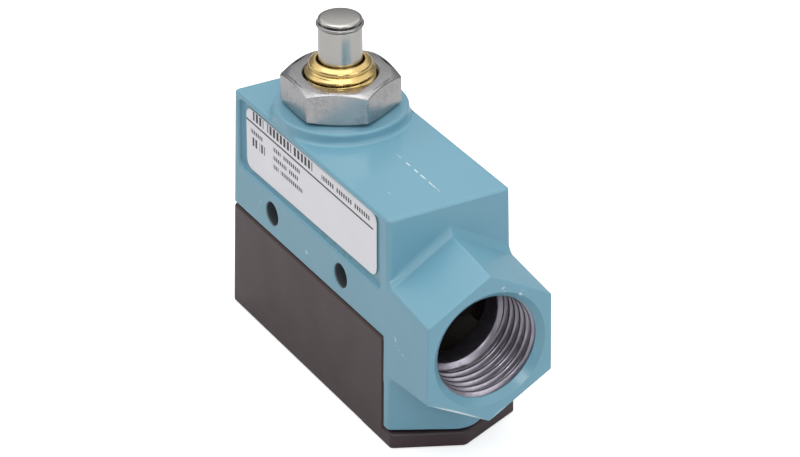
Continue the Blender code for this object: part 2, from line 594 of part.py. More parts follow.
def build_snap_action():
    """Pin, snap blade with its moving contact, anchor and the two fixed contacts."""
    pin = [(0.0, PIN_TOP_Z), (1.1 * MM, PIN_TOP_Z), (1.6 * MM, PIN_TOP_Z - 0.5 * MM), (1.6 * MM, 34.4 * MM),
           (2.6 * MM, 34.4 * MM), (2.6 * MM, 33.4 * MM), (1.2 * MM, 33.4 * MM), (1.2 * MM, PIN_LOW_Z),
           (0.0, PIN_LOW_Z)]
    turned("switch_pin", pin, on_axis(), NATURAL, steps=20)
    tip_x, root_x = 18.4 * MM, -20.0 * MM
    outer = [(root_x, -2.2 * MM), (-12 * MM, -3.6 * MM), (12 * MM, -3.6 * MM), (tip_x, -2.0 * MM),
             (tip_x, 2.0 * MM), (12 * MM, 3.6 * MM), (-12 * MM, 3.6 * MM), (root_x, 2.2 * MM)]
    windows = [[(-13 * MM, side * 1.1 * MM), (11 * MM, side * 1.1 * MM), (11 * MM, side * 2.5 * MM),
                (-13 * MM, side * 2.5 * MM)][::side] for side in (1, -1)]
    rivet_hole = arc((CONTACT_X, 0.0), 1.2 * MM, 0, 330, 11)
    blade = prism("snap_blade", [outer, *windows, rivet_hole], BLADE_LOW_Z, BLADE_HIGH_Z, BERYLLIUM)
    blade.data.transform(Matrix.Translation(-BLADE_PIVOT))
    blade.location = BLADE_PIVOT
    contact = [(0.0, 32.4 * MM), (1.3 * MM, 32.4 * MM), (1.6 * MM, 32.2 * MM), (1.6 * MM, 32.0 * MM),
               (0.9 * MM, 32.0 * MM), (0.9 * MM, 31.3 * MM), (1.6 * MM, 31.3 * MM), (1.6 * MM, 31.1 * MM),
               (1.3 * MM, 30.9 * MM), (0.0, 30.9 * MM)]
    turned("moving_contact", contact, (CONTACT_X, 0.0, 0.0), SILVER, steps=20)
    for name, low, high in (("contact_nc", 32.7 * MM, 33.3 * MM), ("contact_no", 29.65 * MM, 30.05 * MM)):
        rod(name, 1.7 * MM, low, high, (CONTACT_X, 0.0, 0.0), SILVER, steps=20)
    box("blade_anchor", (-20.0 * MM, -2 * MM, 29.1 * MM), (-17.6 * MM, 2 * MM, 31.2 * MM), BRASS)


def build_terminals():
    """Screw terminals: plate under the base, tab up through it, arm out to the contact."""
    plates = {"com": (-21.2, -14.2), "no": (-0.6, 7.4), "nc": (14.4, 21.4)}
    tabs = {"com": (-20.9, -20.3, 31.0), "no": (6.8, 7.4, 29.4), "nc": (20.3, 20.9, 34.0)}
    arms = {"no": (6.8, 18.0, 29.1, 29.4), "nc": (13.8, 20.9, 33.6, 34.0)}
    for name, x in TERMINALS.items():
        low_x, high_x = plates[name]
        plate = box(f"terminal_{name}", (low_x * MM, -3.8 * MM, 16.9 * MM),
                    (high_x * MM, 3.8 * MM, 17.7 * MM), BRASS)
        tab_low, tab_high, tab_top = tabs[name]
        join(plate, box(f"tab_{name}", (tab_low * MM, -2 * MM, 17.2 * MM),
                        (tab_high * MM, 2 * MM, tab_top * MM)))
        if name in arms:
            arm_low, arm_high, arm_z0, arm_z1 = arms[name]
            join(plate, box(f"arm_{name}", (arm_low * MM + 0.1 * MM, -1.8 * MM, arm_z0 * MM),
                            (arm_high * MM - 0.1 * MM, 1.8 * MM, arm_z1 * MM - 0.02 * MM)))
        cut(plate, rod(f"plate_bore_{name}", 1.8 * MM, 16 * MM, 18.5 * MM, (x, 0.0, 0.0), steps=16))
        slotted_screw(f"terminal_screw_{name}", 2.6 * MM, 1.8 * MM, 1.5 * MM, 5.8 * MM,
                      (x, 0.0, 15.2 * MM), ZINC, turn=radians(25))
        washer = [(3.2 * MM, 16.6 * MM), (3.2 * MM, 15.9 * MM), (2.4 * MM, 15.5 * MM),
                  (1.8 * MM, 15.5 * MM), (1.8 * MM, 15.9 * MM), (2.7 * MM, 16.6 * MM)]
        turned(f"cup_washer_{name}", washer, (x, 0.0, 0.0), BRASS, steps=20)


def build_liner():
    """Folded fibre sheet that keeps the wires off the cover's walls."""
    sheet = 0.4 * MM
    low_x, high_x, half = -25.1 * MM, 26.0 * MM, 9.7 * MM
    liner = box("insulating_liner", (low_x, -half, 2.7 * MM), (high_x, half, 2.7 * MM + sheet), FIBRE)
    for side in (-1, 1):
        y0, y1 = sorted((side * (half - sheet), side * half))
        join(liner, box(f"liner_side_{side}", (low_x, y0, 2.7 * MM), (high_x, y1, 15.0 * MM)))


build_housing()
build_label()
build_cover()
build_gasket()
build_bushing()
build_nut()
build_plunger()
build_switch_case()
build_snap_action()
build_terminals()
build_liner()
slotted_screw("cover_screw", 2.9 * MM, 1.2 * MM, 1.75 * MM, 10.1 * MM,
              (31.6 * MM, 0.0, 1.4 * MM), ZINC, turn=radians(40))
slotted_screw("ground_screw", 2.8 * MM, 1.4 * MM, 1.5 * MM, 3.4 * MM,
              (27.6 * MM, 7 * MM, 8.5 * MM), GREEN, along="X", turn=radians(60))
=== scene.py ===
# %% [markdown]
# # The looks of a plunger limit switch
# A imported model already fixes every size, place and joint of the switch: it is the frame,
# and nothing here moves it. This lesson dresses that frame. Surfaces that the eye judges,
# such as the enamelled casting, the lock nut and the threads, are worked out again as
# fine meshes; the rest keep their imported shape and get a finish.
# Loading comes first, and the box of the untouched model is kept and printed.
# %% Load the fixed frame
from math import atan2, cos, pi, radians, sin
import bmesh
import bpy
import numpy as np
from mathutils import Matrix, Vector


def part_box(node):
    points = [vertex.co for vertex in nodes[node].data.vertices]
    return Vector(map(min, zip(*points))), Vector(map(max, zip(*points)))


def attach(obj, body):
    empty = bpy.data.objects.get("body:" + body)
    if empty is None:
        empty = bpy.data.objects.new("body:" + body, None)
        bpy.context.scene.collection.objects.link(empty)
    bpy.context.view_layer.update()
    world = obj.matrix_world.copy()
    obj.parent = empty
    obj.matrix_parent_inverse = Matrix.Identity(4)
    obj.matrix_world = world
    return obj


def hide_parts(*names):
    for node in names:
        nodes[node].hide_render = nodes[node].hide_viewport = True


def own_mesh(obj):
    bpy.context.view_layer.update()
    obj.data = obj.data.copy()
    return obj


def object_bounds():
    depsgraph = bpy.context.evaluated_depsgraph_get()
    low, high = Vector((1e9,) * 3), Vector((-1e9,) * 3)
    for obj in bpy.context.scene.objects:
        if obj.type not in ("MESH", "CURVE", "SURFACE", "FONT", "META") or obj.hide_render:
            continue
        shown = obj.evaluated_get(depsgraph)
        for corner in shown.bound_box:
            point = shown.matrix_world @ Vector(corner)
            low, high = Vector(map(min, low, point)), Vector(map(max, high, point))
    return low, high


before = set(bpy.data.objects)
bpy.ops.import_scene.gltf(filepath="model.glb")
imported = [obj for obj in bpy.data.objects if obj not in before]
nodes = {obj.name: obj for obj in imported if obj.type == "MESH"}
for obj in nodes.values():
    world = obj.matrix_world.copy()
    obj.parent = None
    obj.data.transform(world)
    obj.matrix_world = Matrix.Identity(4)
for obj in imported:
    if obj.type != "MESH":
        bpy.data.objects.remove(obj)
cad_low, cad_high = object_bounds()
print("packed nodes:", len(nodes), "box:", tuple(cad_low), tuple(cad_high))

# %% [markdown]
# ## The camera
# Product pictures are taken with a long lens from well back, so that upright
# edges stay nearly parallel. A short lens close by would widen the conduit hub. The
# camera stands over the hub's corner and looks down by 29 degrees.
# %% Camera
camera_data = bpy.data.cameras.new("camera")
camera_data.sensor_width = 36
camera_data.lens = 172.66
camera_data.clip_start = 0.01
camera = bpy.data.objects.new("camera", camera_data)
bpy.context.scene.collection.objects.link(camera)
bpy.context.scene.camera = camera
heading = Matrix.Rotation(radians(60.754), 4, "Z")
pitch = Matrix.Rotation(radians(90 - 29.233), 4, "X")
roll = Matrix.Rotation(radians(-0.29), 4, "Z")
camera.matrix_world = Matrix.Translation((0.51897, -0.28374, 0.35621)) @ heading @ pitch @ roll
print("camera stands", round(camera.location.length, 3), "m from the switch")

# %% [markdown]
# ## Small helpers for node trees
# Colours are written as sRGB hex, the way a paint chart or a picker gives them, and one
# function turns them to the linear values that shaders mix. Another adds a node, sets it
# and links it in one call. That keeps a material readable as a list of its layers; a
# separate function for each kind of node would only hide the same call. Plain small parts
# share one whole recipe, in which tone, shine and relief follow a single noise.
# %% Colour and node helpers
MM = 0.001


def linear(hex_colour, alpha=1.0):
    """Linear RGBA of an sRGB hex colour: each channel is undone by the sRGB curve."""
    channels = np.array([int(hex_colour[i:i + 2], 16) for i in (1, 3, 5)]) / 255
    curve = np.where(channels <= 0.04045, channels / 12.92, ((channels + 0.055) / 1.055) ** 2.4)
    return (*curve.tolist(), alpha)


def feed(tree, target, inputs):
    """Give a node its inputs: a socket, or another node's first live output, is linked; a
    number or a colour is set."""
    for key, value in inputs.items():
        if isinstance(value, bpy.types.Node):
            value = next(out for out in value.outputs if out.enabled)
        if isinstance(value, bpy.types.NodeSocket):
            tree.links.new(value, target.inputs[key])
        else:
            target.inputs[key].default_value = value


def node(tree, kind, inputs=None, **settings):
    """Add a shader node: settings are its properties, and inputs feed its sockets."""
    made = tree.nodes.new("ShaderNode" + kind)
    for key, value in settings.items():
        setattr(made, key, value)
    feed(tree, made, inputs or {})
    return made


def finish(name, **values):
    """A material on one Principled shader, and the object's own coordinates in millimetres."""
    made = bpy.data.materials.new(name)
    made.use_nodes = True
    tree = made.node_tree
    shader = tree.nodes["Principled BSDF"]
    for key, value in values.items():
        shader.inputs[key.replace("_", " ")].default_value = value
    place = node(tree, "TexCoord").outputs["Object"]
    return made, tree, shader, node(tree, "VectorMath", {0: place, "Scale": 1 / MM}, operation="SCALE")


def clouded(name, first, second, grain, dull, depth=0.004, stretch=(1.0, 1.0, 1.0), detail=4.0,
            **values):
    """A finish whose tone, shine and relief follow one noise of about `grain` mm, which is
    drawn out along the axes where `stretch` is small."""
    made, tree, shader, mm = finish(name, **values)
    place = node(tree, "Mapping", {"Vector": mm, "Scale": stretch})
    noise = node(tree, "TexNoise", {"Vector": place, "Scale": 1 / grain, "Detail": detail})
    tone = node(tree, "Mix", {0: noise, 6: linear(first), 7: linear(second)}, data_type="RGBA")
    shine = node(tree, "MapRange", {"Value": noise, "From Min": 0.3, "From Max": 0.7,
                                    "To Min": dull[0], "To Max": dull[1]})
    feed(tree, shader, {"Base Color": tone, "Roughness": shine,
                        "Normal": node(tree, "Bump", {"Height": noise, "Distance": depth * MM})})
    return made


print("a mid grey of #808080 is", round(linear("#808080")[0], 3), "in linear light")

# %% [markdown]
# ## The studio
# The switch stands on a white table under a broad overhead sheet. White paper all round
# would light the metal flatly, because polished metal shows its surroundings: so the sky
# is white above, mid grey behind the switch and dark in front of it, where the room is,
# and only the camera sees plain white. Large lamps make broad soft highlights; small ones
# would leave hard dots. A weak fill beside the camera reaches into the conduit bore, which
# stays black under the others. The table's glow is for the camera alone, so metal mirrors a
# table that is only as bright as its lamps make it.
# %% Sky, table and lamps
SKY = (("#4a4a4d", 0.0), ("#333336", 0.42), ("#5c5d60", 0.50), ("#858689", 0.58), ("#87888b", 0.75),
       ("#ffffff", 0.81))
SKY_AXIS = (-0.092, 0.049, 0.9945)
world = bpy.data.worlds.new("studio")
bpy.context.scene.world = world
world.use_nodes = True
sky = world.node_tree
direction = node(sky, "TexCoord").outputs["Generated"]
height = node(sky, "VectorMath", {0: direction, 1: SKY_AXIS}, operation="DOT_PRODUCT")
share = node(sky, "MapRange", {"Value": height, "From Min": -1.0, "From Max": 1.0})
ramp = node(sky, "ValToRGB", {0: share})
ramp.color_ramp.elements[0].color = linear(SKY[0][0])
ramp.color_ramp.elements[1].color = linear(SKY[-1][0])
ramp.color_ramp.elements[1].position = SKY[-1][1]
for colour, place in SKY[1:-1]:
    ramp.color_ramp.elements.new(place).color = linear(colour)
surroundings = node(sky, "Background", {0: ramp, "Strength": 1.0})
paper = node(sky, "Background", {0: linear("#ffffff"), "Strength": 1.0})
seen = node(sky, "LightPath").outputs["Is Camera Ray"]
feed(sky, sky.nodes["World Output"], {0: node(sky, "MixShader", {0: seen, 1: surroundings, 2: paper})})
bpy.context.scene.view_settings.view_transform = "Standard"


def lamp(name, place, size, watts):
    """A square area lamp of a size in metres that faces the middle of the switch."""
    data = bpy.data.lights.new(name, "AREA")
    data.shape = "SQUARE"
    data.size = size
    data.energy = watts
    made = bpy.data.objects.new(name, data)
    bpy.context.scene.collection.objects.link(made)
    made.matrix_world = Matrix.Translation(place)
    aim = (cad_low + cad_high) / 2 - made.location
    made.rotation_mode = "QUATERNION"
    made.rotation_quaternion = aim.to_track_quat("-Z", "Y")


lamp("softbox_over", (-0.02, -0.06, 0.62), 0.55, 1.1)
lamp("softbox_left", (-0.34, -0.50, 0.30), 0.42, 0.42)
lamp("softbox_right", (0.55, 0.22, 0.30), 0.36, 0.8)
lamp("fill_by_camera", (0.50, -0.26, 0.33), 0.16, 0.55)

table_mesh = bpy.data.meshes.new("table")
reach, drop = 3.0, -0.00005
corners = ((-reach, -reach, drop), (reach, -reach, drop), (reach, reach, drop), (-reach, reach, drop))
table_mesh.from_pydata(corners, [], [(0, 1, 2, 3)])
table = bpy.data.objects.new("table", table_mesh)
bpy.context.scene.collection.objects.link(table)
white_board, board_tree, board_shader, _ = finish("white_melamine_table", Roughness=0.7)
camera_ray = node(board_tree, "LightPath").outputs["Is Camera Ray"]
glow = node(board_tree, "Math", {0: camera_ray, 1: 0.6}, operation="MULTIPLY")
feed(board_tree, board_shader, {"Base Color": linear("#dcdcdc"), "Emission Color": linear("#ffffff"),
                                "Emission Strength": glow})
table.data.materials.append(white_board)

# %% [markdown]
# ## Surfaces from grids
# Every new piece is one closed skin over a grid of points: rows follow one another along
# the piece, and the points of a row go once round it. Blender's own primitives would do
# for a plain rod, but a grid also takes threads, tapers and fillets, and numpy works out
# all its points at once. Where neighbouring points fall together, as at a pole or where
# the round closes, they are welded, and then the faces are turned outwards.
# %% Grid to mesh
def skin(name, grid):
    """Quads between neighbours of a (rows, points, 3) grid in mm, whose last column lies on
    its first: the round closes there when the points are welded."""
    grid = np.asarray(grid, float)
    index = np.arange(grid.shape[0] * grid.shape[1]).reshape(grid.shape[:2])
    corners = [index[:-1, :-1], index[:-1, 1:], index[1:, 1:], index[1:, :-1]]
    quads = np.stack(corners, axis=-1).reshape(-1, 4)
    mesh = bpy.data.meshes.new(name)
    mesh.from_pydata((grid.reshape(-1, 3) * MM).tolist(), [], quads.tolist())
    weld(mesh)
    made = bpy.data.objects.new(name, mesh)
    bpy.context.scene.collection.objects.link(made)
    return made


def weld(mesh, reach=0.0001 * MM):
    """Merge points closer than `reach`, drop what that flattens, and face it all outwards."""
    bm = bmesh.new()
    bm.from_mesh(mesh)
    bmesh.ops.remove_doubles(bm, verts=bm.verts[:], dist=reach)
    bmesh.ops.dissolve_degenerate(bm, edges=bm.edges[:], dist=reach)
    bmesh.ops.recalc_face_normals(bm, faces=bm.faces[:])
    bm.to_mesh(mesh)
    bm.free()


def loft(name, sections):
    """A skin over sections of equal length; each end closes on its section's middle point."""
    grid = np.stack(sections)
    grid = np.concatenate([grid, grid[:, :1]], axis=1)
    ends = np.broadcast_to(grid[[0, -1]].mean(axis=1, keepdims=True), grid[[0, -1]].shape)
    return skin(name, np.concatenate([ends[:1], grid, ends[1:]]))


def turned(name, profile, centre=(0.0, 0.0, 0.0), along="Z", steps=64):
    """A profile of (radius, height) points carried once round an axis through centre:
    each point goes to radius times the cosine and sine of the angle, at its height."""
    profile = np.asarray(profile, float)
    angle = np.linspace(0, 2 * pi, steps + 1)
    return skin(name, on_axis(profile[:, :1] * np.ones(steps + 1), profile[:, 1:], angle, centre, along))


def on_axis(radius, height, angle, centre=(0.0, 0.0, 0.0), along="Z"):
    """Points of a round grid: radius and height may change with both the row and the angle."""
    across, up = radius * np.cos(angle), radius * np.sin(angle)
    height = np.broadcast_to(height, radius.shape)
    order = {"Z": (across, up, height), "X": (height, across, up), "Y": (up, height, across)}[along]
    return np.stack(order, axis=-1) + np.asarray(centre, float)


def soften(points, reach=0.15, steps=4):
    """Round the inner corners of a profile: each becomes a short parabola that leaves one
    side and joins the next at `reach` mm from the corner, or at 45 % of a shorter side."""
    points = np.asarray(points, float)
    corner = points[1:-1]
    back, on = points[:-2] - corner, points[2:] - corner
    back_length = np.linalg.norm(back, axis=1, keepdims=True)
    on_length = np.linalg.norm(on, axis=1, keepdims=True)
    reach = np.broadcast_to(np.asarray(reach, float).reshape(-1, 1), (len(corner), 1))
    reach = np.minimum(reach, 0.45 * np.minimum(back_length, on_length))
    start, end = corner + back / back_length * reach, corner + on / on_length * reach
    t = np.linspace(0, 1, steps + 1)[None, :, None]
    curve = (1 - t) ** 2 * start[:, None] + 2 * t * (1 - t) * corner[:, None] + t ** 2 * end[:, None]
    return np.concatenate([points[:1], curve.reshape(-1, 2), points[-1:]])


print("helpers: skin, loft, turned, soften")

# %% [markdown]
# ## Outlines with round corners
# Cast and moulded parts have no sharp corners: metal and resin would not fill them, and
# dies wear. So outlines are polygons whose corners are true arcs. The arc's centre lies
# where both sides, moved inwards by the radius, cross; Blender's Bevel could round a
# finished mesh instead, but then neighbouring sections would no longer share a rhythm.
# %% Rounded polygons
def normals_of(corners):
    """Outward unit normals of the side before and the side after each corner."""
    side = np.roll(corners, -1, axis=0) - corners
    side = side / np.linalg.norm(side, axis=1, keepdims=True)
    after = np.stack([side[:, 1], -side[:, 0]], axis=1)
    return np.roll(after, 1, axis=0), after


def shrunk(corners, inset):
    """The polygon with every side moved inwards by `inset`."""
    corners = np.asarray(corners, float)
    before, after = normals_of(corners)
    inset = np.reshape(inset, (-1, 1))
    return corners - inset * (before + after) / (1 + (before * after).sum(axis=1, keepdims=True))


def rounded(corners, radius, steps=6, per_side=1):
    """Anticlockwise outline: at each corner an arc from one side's normal to the next one's,
    about the corner moved inwards by the radius; sides can be divided further."""
    corners = np.asarray(corners, float)
    before, after = normals_of(corners)
    radius = np.broadcast_to(np.asarray(radius, float), len(corners))
    centre = shrunk(corners, radius)
    start = np.arctan2(before[:, 1], before[:, 0])
    turn = (np.arctan2(after[:, 1], after[:, 0]) - start) % (2 * pi)
    angle = start[:, None] + turn[:, None] * np.linspace(0, 1, steps + 1)
    arcs = centre[:, None] + radius[:, None, None] * np.stack([np.cos(angle), np.sin(angle)], -1)
    if per_side > 1:
        share = (np.arange(1, per_side) / per_side)[None, :, None]
        begin, end = arcs[:, -1:], np.roll(arcs[:, :1], -1, axis=0)
        arcs = np.concatenate([arcs, begin + (end - begin) * share], axis=1)
    return arcs.reshape(-1, 2)


def quarter(radius, steps=5):
    """(drop, inset) of an edge rounding, from the flat face to the wall."""
    turn = np.linspace(0, pi / 2, steps + 1)
    return np.stack([radius * (1 - np.cos(turn)), radius * (1 - np.sin(turn))], axis=1)


print("points of a rounded square:", len(rounded([(0, 0), (1, 0), (1, 1), (0, 1)], 0.2)))

# %% [markdown]
# ## Joining and cutting
# A casting is one solid, so its block, hub, boss and bores are joined and cut with
# Booleans, whose result is taken as a plain mesh at once. Remeshing to voxels would join
# them too, with soft fillets, but it would blur the crisp machined faces.
# %% Booleans and how a piece is handed over
def carve(target, tools, operation):
    """Join tools to the target (UNION) or take them out (DIFFERENCE), and keep the result."""
    for tool in tools:
        change = target.modifiers.new(tool.name, "BOOLEAN")
        change.operation = operation
        change.object = tool
    evaluated = target.evaluated_get(bpy.context.evaluated_depsgraph_get())
    result = bpy.data.meshes.new_from_object(evaluated)
    target.modifiers.clear()
    target.data = result
    for tool in tools:
        bpy.data.objects.remove(tool)
    weld(target.data)
    return target


def hand_over(piece, body, material, stands_for, smooth=30, level=True):
    """Shade a piece, give it its finish, and let it ride on a body in place of CAD nodes."""
    piece.data.materials.clear()
    piece.data.materials.append(material)
    piece.data.shade_smooth()
    piece.data.set_sharp_from_angle(angle=radians(smooth))
    if level:
        weights = piece.modifiers.new("level_flat_faces", "WEIGHTED_NORMAL")
        weights.keep_sharp = True
    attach(piece, body)
    if stands_for:
        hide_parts(*stands_for)
    print(piece.name, "has", len(piece.data.polygons), "faces")
    return piece


def span_mm(name):
    """Lowest and highest corner of a CAD node, in mm."""
    low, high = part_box(name)
    return np.array(low) / MM, np.array(high) / MM


print("the housing spans, in mm:", [v.round(2).tolist() for v in span_mm("housing")])

# %% [markdown]
# ## The skin's draft
# Every wall leans in by about a degree towards the top, so that the casting leaves its
# die and the moulding its mould. Ends and thickness are therefore straight-line
# functions of height, and all outlines ask them for their size.
# %% Leaning walls
TOP_Z = 44.17
LEFT, RIGHT, HALF = (-28.6, -26.8), (30.06, 29.33), (12.45, 11.9)
CORNER_R, TOP_EDGE_R = 0.8, 0.6
HOUSING_FOOT_Z = 21.1


def left_at(z):
    """X of the left end: a straight line from the foot's value to the top's."""
    return LEFT[0] + (LEFT[1] - LEFT[0]) * z / TOP_Z


def right_at(z):
    """X of the right end: a straight line from the foot's value to the top's."""
    return RIGHT[0] + (RIGHT[1] - RIGHT[0]) * z / TOP_Z


def half_at(z):
    """Half thickness: a straight line from the foot's value to the top's."""
    return HALF[0] + (HALF[1] - HALF[0]) * z / TOP_Z


def block_section(z, inset, right=None):
    """Plan of the block at a height: a rectangle with round corners, moved in by `inset`."""
    x0, x1, y1 = left_at(z), right_at(z) if right is None else right, half_at(z)
    corners = shrunk([(x0, -y1), (x1, -y1), (x1, y1), (x0, y1)], inset)
    outline = rounded(corners, CORNER_R - min(inset, CORNER_R - 0.3))
    return np.column_stack([outline, np.full(len(outline), z)])


print("thickness at the foot and the top:", 2 * half_at(0), 2 * half_at(TOP_Z))

# %% [markdown]
# ## The casting's block and end plate
# The block is a stack of such plans: a small rounding at the foot, straight walls, and a
# quarter round along the top edge. Below the hub the end wall carries on down as a plate
# that is pointed in plan, with a broad round nose, to clear the conduit's wires.
# %% Block and end plate
def build_block():
    """Plans stacked from foot to top; insets follow quarter rounds at both ends."""
    foot = [block_section(HOUSING_FOOT_Z + drop, inset) for drop, inset in quarter(0.3, 3)]
    top = [block_section(TOP_Z - drop, inset) for drop, inset in quarter(TOP_EDGE_R, 7)[::-1]]
    return loft("housing_shell", foot + [block_section(32.0, 0.0)] + top)


NOSE_SLOPE, NOSE_X, NOSE_R, PLATE_CORNER_R = 0.532, 36.36, 5.2, 1.0
PLATE_X, PLATE_FOOT_Z = 27.9, 3.25
# the plate and the boss stop this far inside the block's sides, so that no faces coincide
SIDE_IN = 0.04


def plate_section(z, inset):
    """Plan of the end plate: two flanks that run from round corners to a round nose."""
    y1 = half_at(z) - SIDE_IN
    flank_x = NOSE_X - NOSE_SLOPE * y1
    corners = [(PLATE_X, -y1), (flank_x, -y1), (NOSE_X, 0.0), (flank_x, y1), (PLATE_X, y1)]
    radius = np.array([0.35, PLATE_CORNER_R, NOSE_R, PLATE_CORNER_R, 0.35]) - min(inset, 0.3)
    outline = rounded(shrunk(corners, inset), radius, steps=12)
    return np.column_stack([outline, np.full(len(outline), z)])


def build_end_plate():
    """Plans stacked from the plate's rounded foot up into the block."""
    foot = [plate_section(PLATE_FOOT_Z + drop, inset) for drop, inset in quarter(0.3, 3)]
    return loft("end_plate", foot + [plate_section(HOUSING_FOOT_Z + 1.2, 0.0)])


print("end plate section points:", len(plate_section(10.0, 0.0)))

# %% [markdown]
# ## The hexagonal conduit hub
# The hub is a hexagon for a spanner, points up and down, that tapers to its face. Its two
# flat sides run on from the block's sides; its four slanting flats meet the end wall in a
# fillet. It is one loft along X: a section's outline is mixed between the root's and the
# face's, and near the wall it grows by a quarter circle while it runs back onto the wall.
# %% Conduit hub
hub_face_x = span_mm("housing")[1][0]
HUB_Z, HUB_ROOT_X = 22.76, 29.8
ROOT_POINT, ROOT_FLAT, FACE_POINT, FACE_FLAT = 15.95, 8.8, 14.2, 7.4
HUB_FILLET, HUB_EDGE_R, HUB_RIDGE_R = 1.4, 0.28, 0.5
# the fillets' ends lie this far under the surface, and the hub's flats inside the block's
SINK, HUB_IN = 0.008, 0.03


def hub_outline(point, flat, grow, inset=0.0):
    """Hexagon in Y and Z: its slanting sides are moved out by `grow`, all sides in by `inset`."""
    slant = np.hypot(1.0, (point - flat) / half_at(HUB_Z))
    point, flat = point + grow * slant, flat + grow * slant
    high, low = half_at(HUB_Z + flat) - HUB_IN, half_at(HUB_Z - flat) - HUB_IN
    corners = [(0, point), (-high, flat), (-low, -flat), (0, -point), (low, -flat), (high, flat)]
    radius = HUB_RIDGE_R - min(inset, 0.6 * HUB_RIDGE_R)
    return rounded(shrunk(corners, inset), radius, steps=7, per_side=8) + (0.0, HUB_Z)


def wall_x(y, z):
    """X of the end wall behind the hub: the block's leaning end above the parting height,
    the pointed plate below it, both with the round of their upright corners."""
    y = np.abs(y)
    over = np.clip(y - (half_at(z) - CORNER_R), 0, CORNER_R)
    block = right_at(z) - CORNER_R + np.sqrt(CORNER_R ** 2 - over ** 2)
    lean = atan2(NOSE_SLOPE, 1.0)
    nose_centre = NOSE_X - NOSE_R / cos(lean)
    nose = nose_centre + np.sqrt(np.maximum(NOSE_R ** 2 - y ** 2, 0))
    plate = np.where(y < NOSE_R * sin(lean), nose, NOSE_X - NOSE_SLOPE * y)
    flank = half_at(z) - SIDE_IN
    edge = flank - PLATE_CORNER_R
    corner_x = NOSE_X - NOSE_SLOPE * flank - PLATE_CORNER_R * (1 - sin(lean)) / cos(lean)
    corner = corner_x + np.sqrt(np.maximum(PLATE_CORNER_R ** 2 - np.maximum(y - edge, 0) ** 2, 0))
    plate = np.where(y > edge + PLATE_CORNER_R * sin(lean), corner, plate)
    return np.where(z > HOUSING_FOOT_Z, block, plate)


def hub_section(out, grow, along, inset=0.0):
    """One ring: `out` mm off the wall at along 0, on the face at along 1. The outline is
    mixed between root and face by how far along X each point has come; that depends on the
    outline in turn, and three rounds settle it."""
    root = hub_outline(ROOT_POINT, ROOT_FLAT, grow, inset)
    face = hub_outline(FACE_POINT, FACE_FLAT, grow, inset)
    share = np.zeros(len(root))
    for _ in range(3):
        y, z = (root + (face - root) * share[:, None]).T
        start = wall_x(y, z) + out
        x = start + (hub_face_x - start) * along
        share = (x - HUB_ROOT_X) / (hub_face_x - HUB_ROOT_X)
    return np.stack([x, y, z], axis=-1)


def build_hub():
    """Rings from inside the wall, round the fillet, along the taper and over the face's edge."""
    turn = np.linspace(pi / 2, 0, 9)
    fillet = [hub_section(HUB_FILLET * (1 - sin(t)) - SINK, HUB_FILLET * (1 - cos(t)), 0.0)
              for t in turn]
    inside = hub_section(-1.2, HUB_FILLET, 0.0)
    length = hub_face_x - HUB_ROOT_X - HUB_FILLET
    taper = [hub_section(HUB_FILLET, 0.0, share) for share in (0.3, 0.6)]
    face = []
    for drop, inset in quarter(HUB_EDGE_R, 5)[::-1]:
        ring = hub_section(HUB_FILLET, 0.0, 1 - HUB_EDGE_R / length, inset)
        ring[:, 0] = hub_face_x - drop
        face.append(ring)
    return loft("hub", [inside] + fillet + taper + face)


print("hub face at x =", round(hub_face_x, 2), "mm")

# %% [markdown]
# ## The boss under the lock nut
# A round boss lifts the nut off the top face. It is turned in shape, but where it reaches
# the block's sides it is pressed flat against them, and its foot fillet follows the round
# of the block's top edge. A Bevel on the joined mesh would stop at that edge, so the
# fillet is part of the boss: it ends a few microns under the surface that it runs into.
# %% Boss with its fillet
BOSS_R, BOSS_FILLET = 12.05, 0.95
boss_top_z = span_mm("housing")[1][2]
plunger_x = float(span_mm("plunger")[0][0] + span_mm("plunger")[1][0]) / 2


def top_surface(y):
    """Height of the block's top across Y: flat, then down its quarter-round edge."""
    over = np.clip(np.abs(y) - (half_at(TOP_Z) - TOP_EDGE_R), 0, TOP_EDGE_R)
    return TOP_Z - TOP_EDGE_R + np.sqrt(TOP_EDGE_R ** 2 - over ** 2)


def build_boss():
    """Rings of growing radius, clipped to the side planes; the fillet's height is a quarter
    circle above the block's own surface."""
    angle = np.linspace(0, 2 * pi, 145)
    rim = [(BOSS_R - inset, boss_top_z - drop) for drop, inset in quarter(0.55, 6)]
    turn = np.linspace(0, pi / 2, 10)
    spread = np.concatenate([[r for r, _ in rim], BOSS_R + BOSS_FILLET * (1 - np.cos(turn))])
    side = half_at(TOP_Z) - SIDE_IN
    x = spread[:, None] * np.cos(angle)
    y = np.clip(spread[:, None] * np.sin(angle), -side, side)
    rise = np.concatenate([np.zeros(len(rim)), BOSS_FILLET * (1 - np.sin(turn)) - SINK])[:, None]
    height = top_surface(y) + rise
    height[:len(rim)] = np.array([h for _, h in rim])[:, None]
    below = np.stack([x[-1], y[-1], np.full(len(angle), TOP_Z - 3.0)], axis=-1)
    rings = list(np.stack([x, y, height], axis=-1)) + [below]
    return loft("boss", [ring + np.array([plunger_x, 0, 0]) for ring in rings])


print("boss stands", round(boss_top_z - TOP_Z, 2), "mm over the top face")

# %% [markdown]
# ## Cutting tools for the casting
# The cutters carry the lips and fillets of what they leave behind: a bore cutter flares
# by a small radius where it meets the face, and the label's recess has a soft lip and a
# round at its floor. Cutting first and beveling after would catch every other edge too.
# %% Bores, recess and rooms
HOLES = ((-12.7, 25.45), (12.7, 25.45))
HOLE_R = 2.15
MOUTH_R, MOUTH_DEPTH, SLEEVE_R = 10.65, 1.4, 10.3
RECESS_X, RECESS_Z, RECESS_SIZE, RECESS_R, RECESS_DEPTH = 0.65, 36.25, (51.8, 13.5), 1.2, 0.9
LEAN = atan2(HALF[0] - HALF[1], TOP_Z)
ROOM = ((-25.3, -9.7, 10.0), (27.0, 9.7, 41.9))
SCREW_X = 31.6


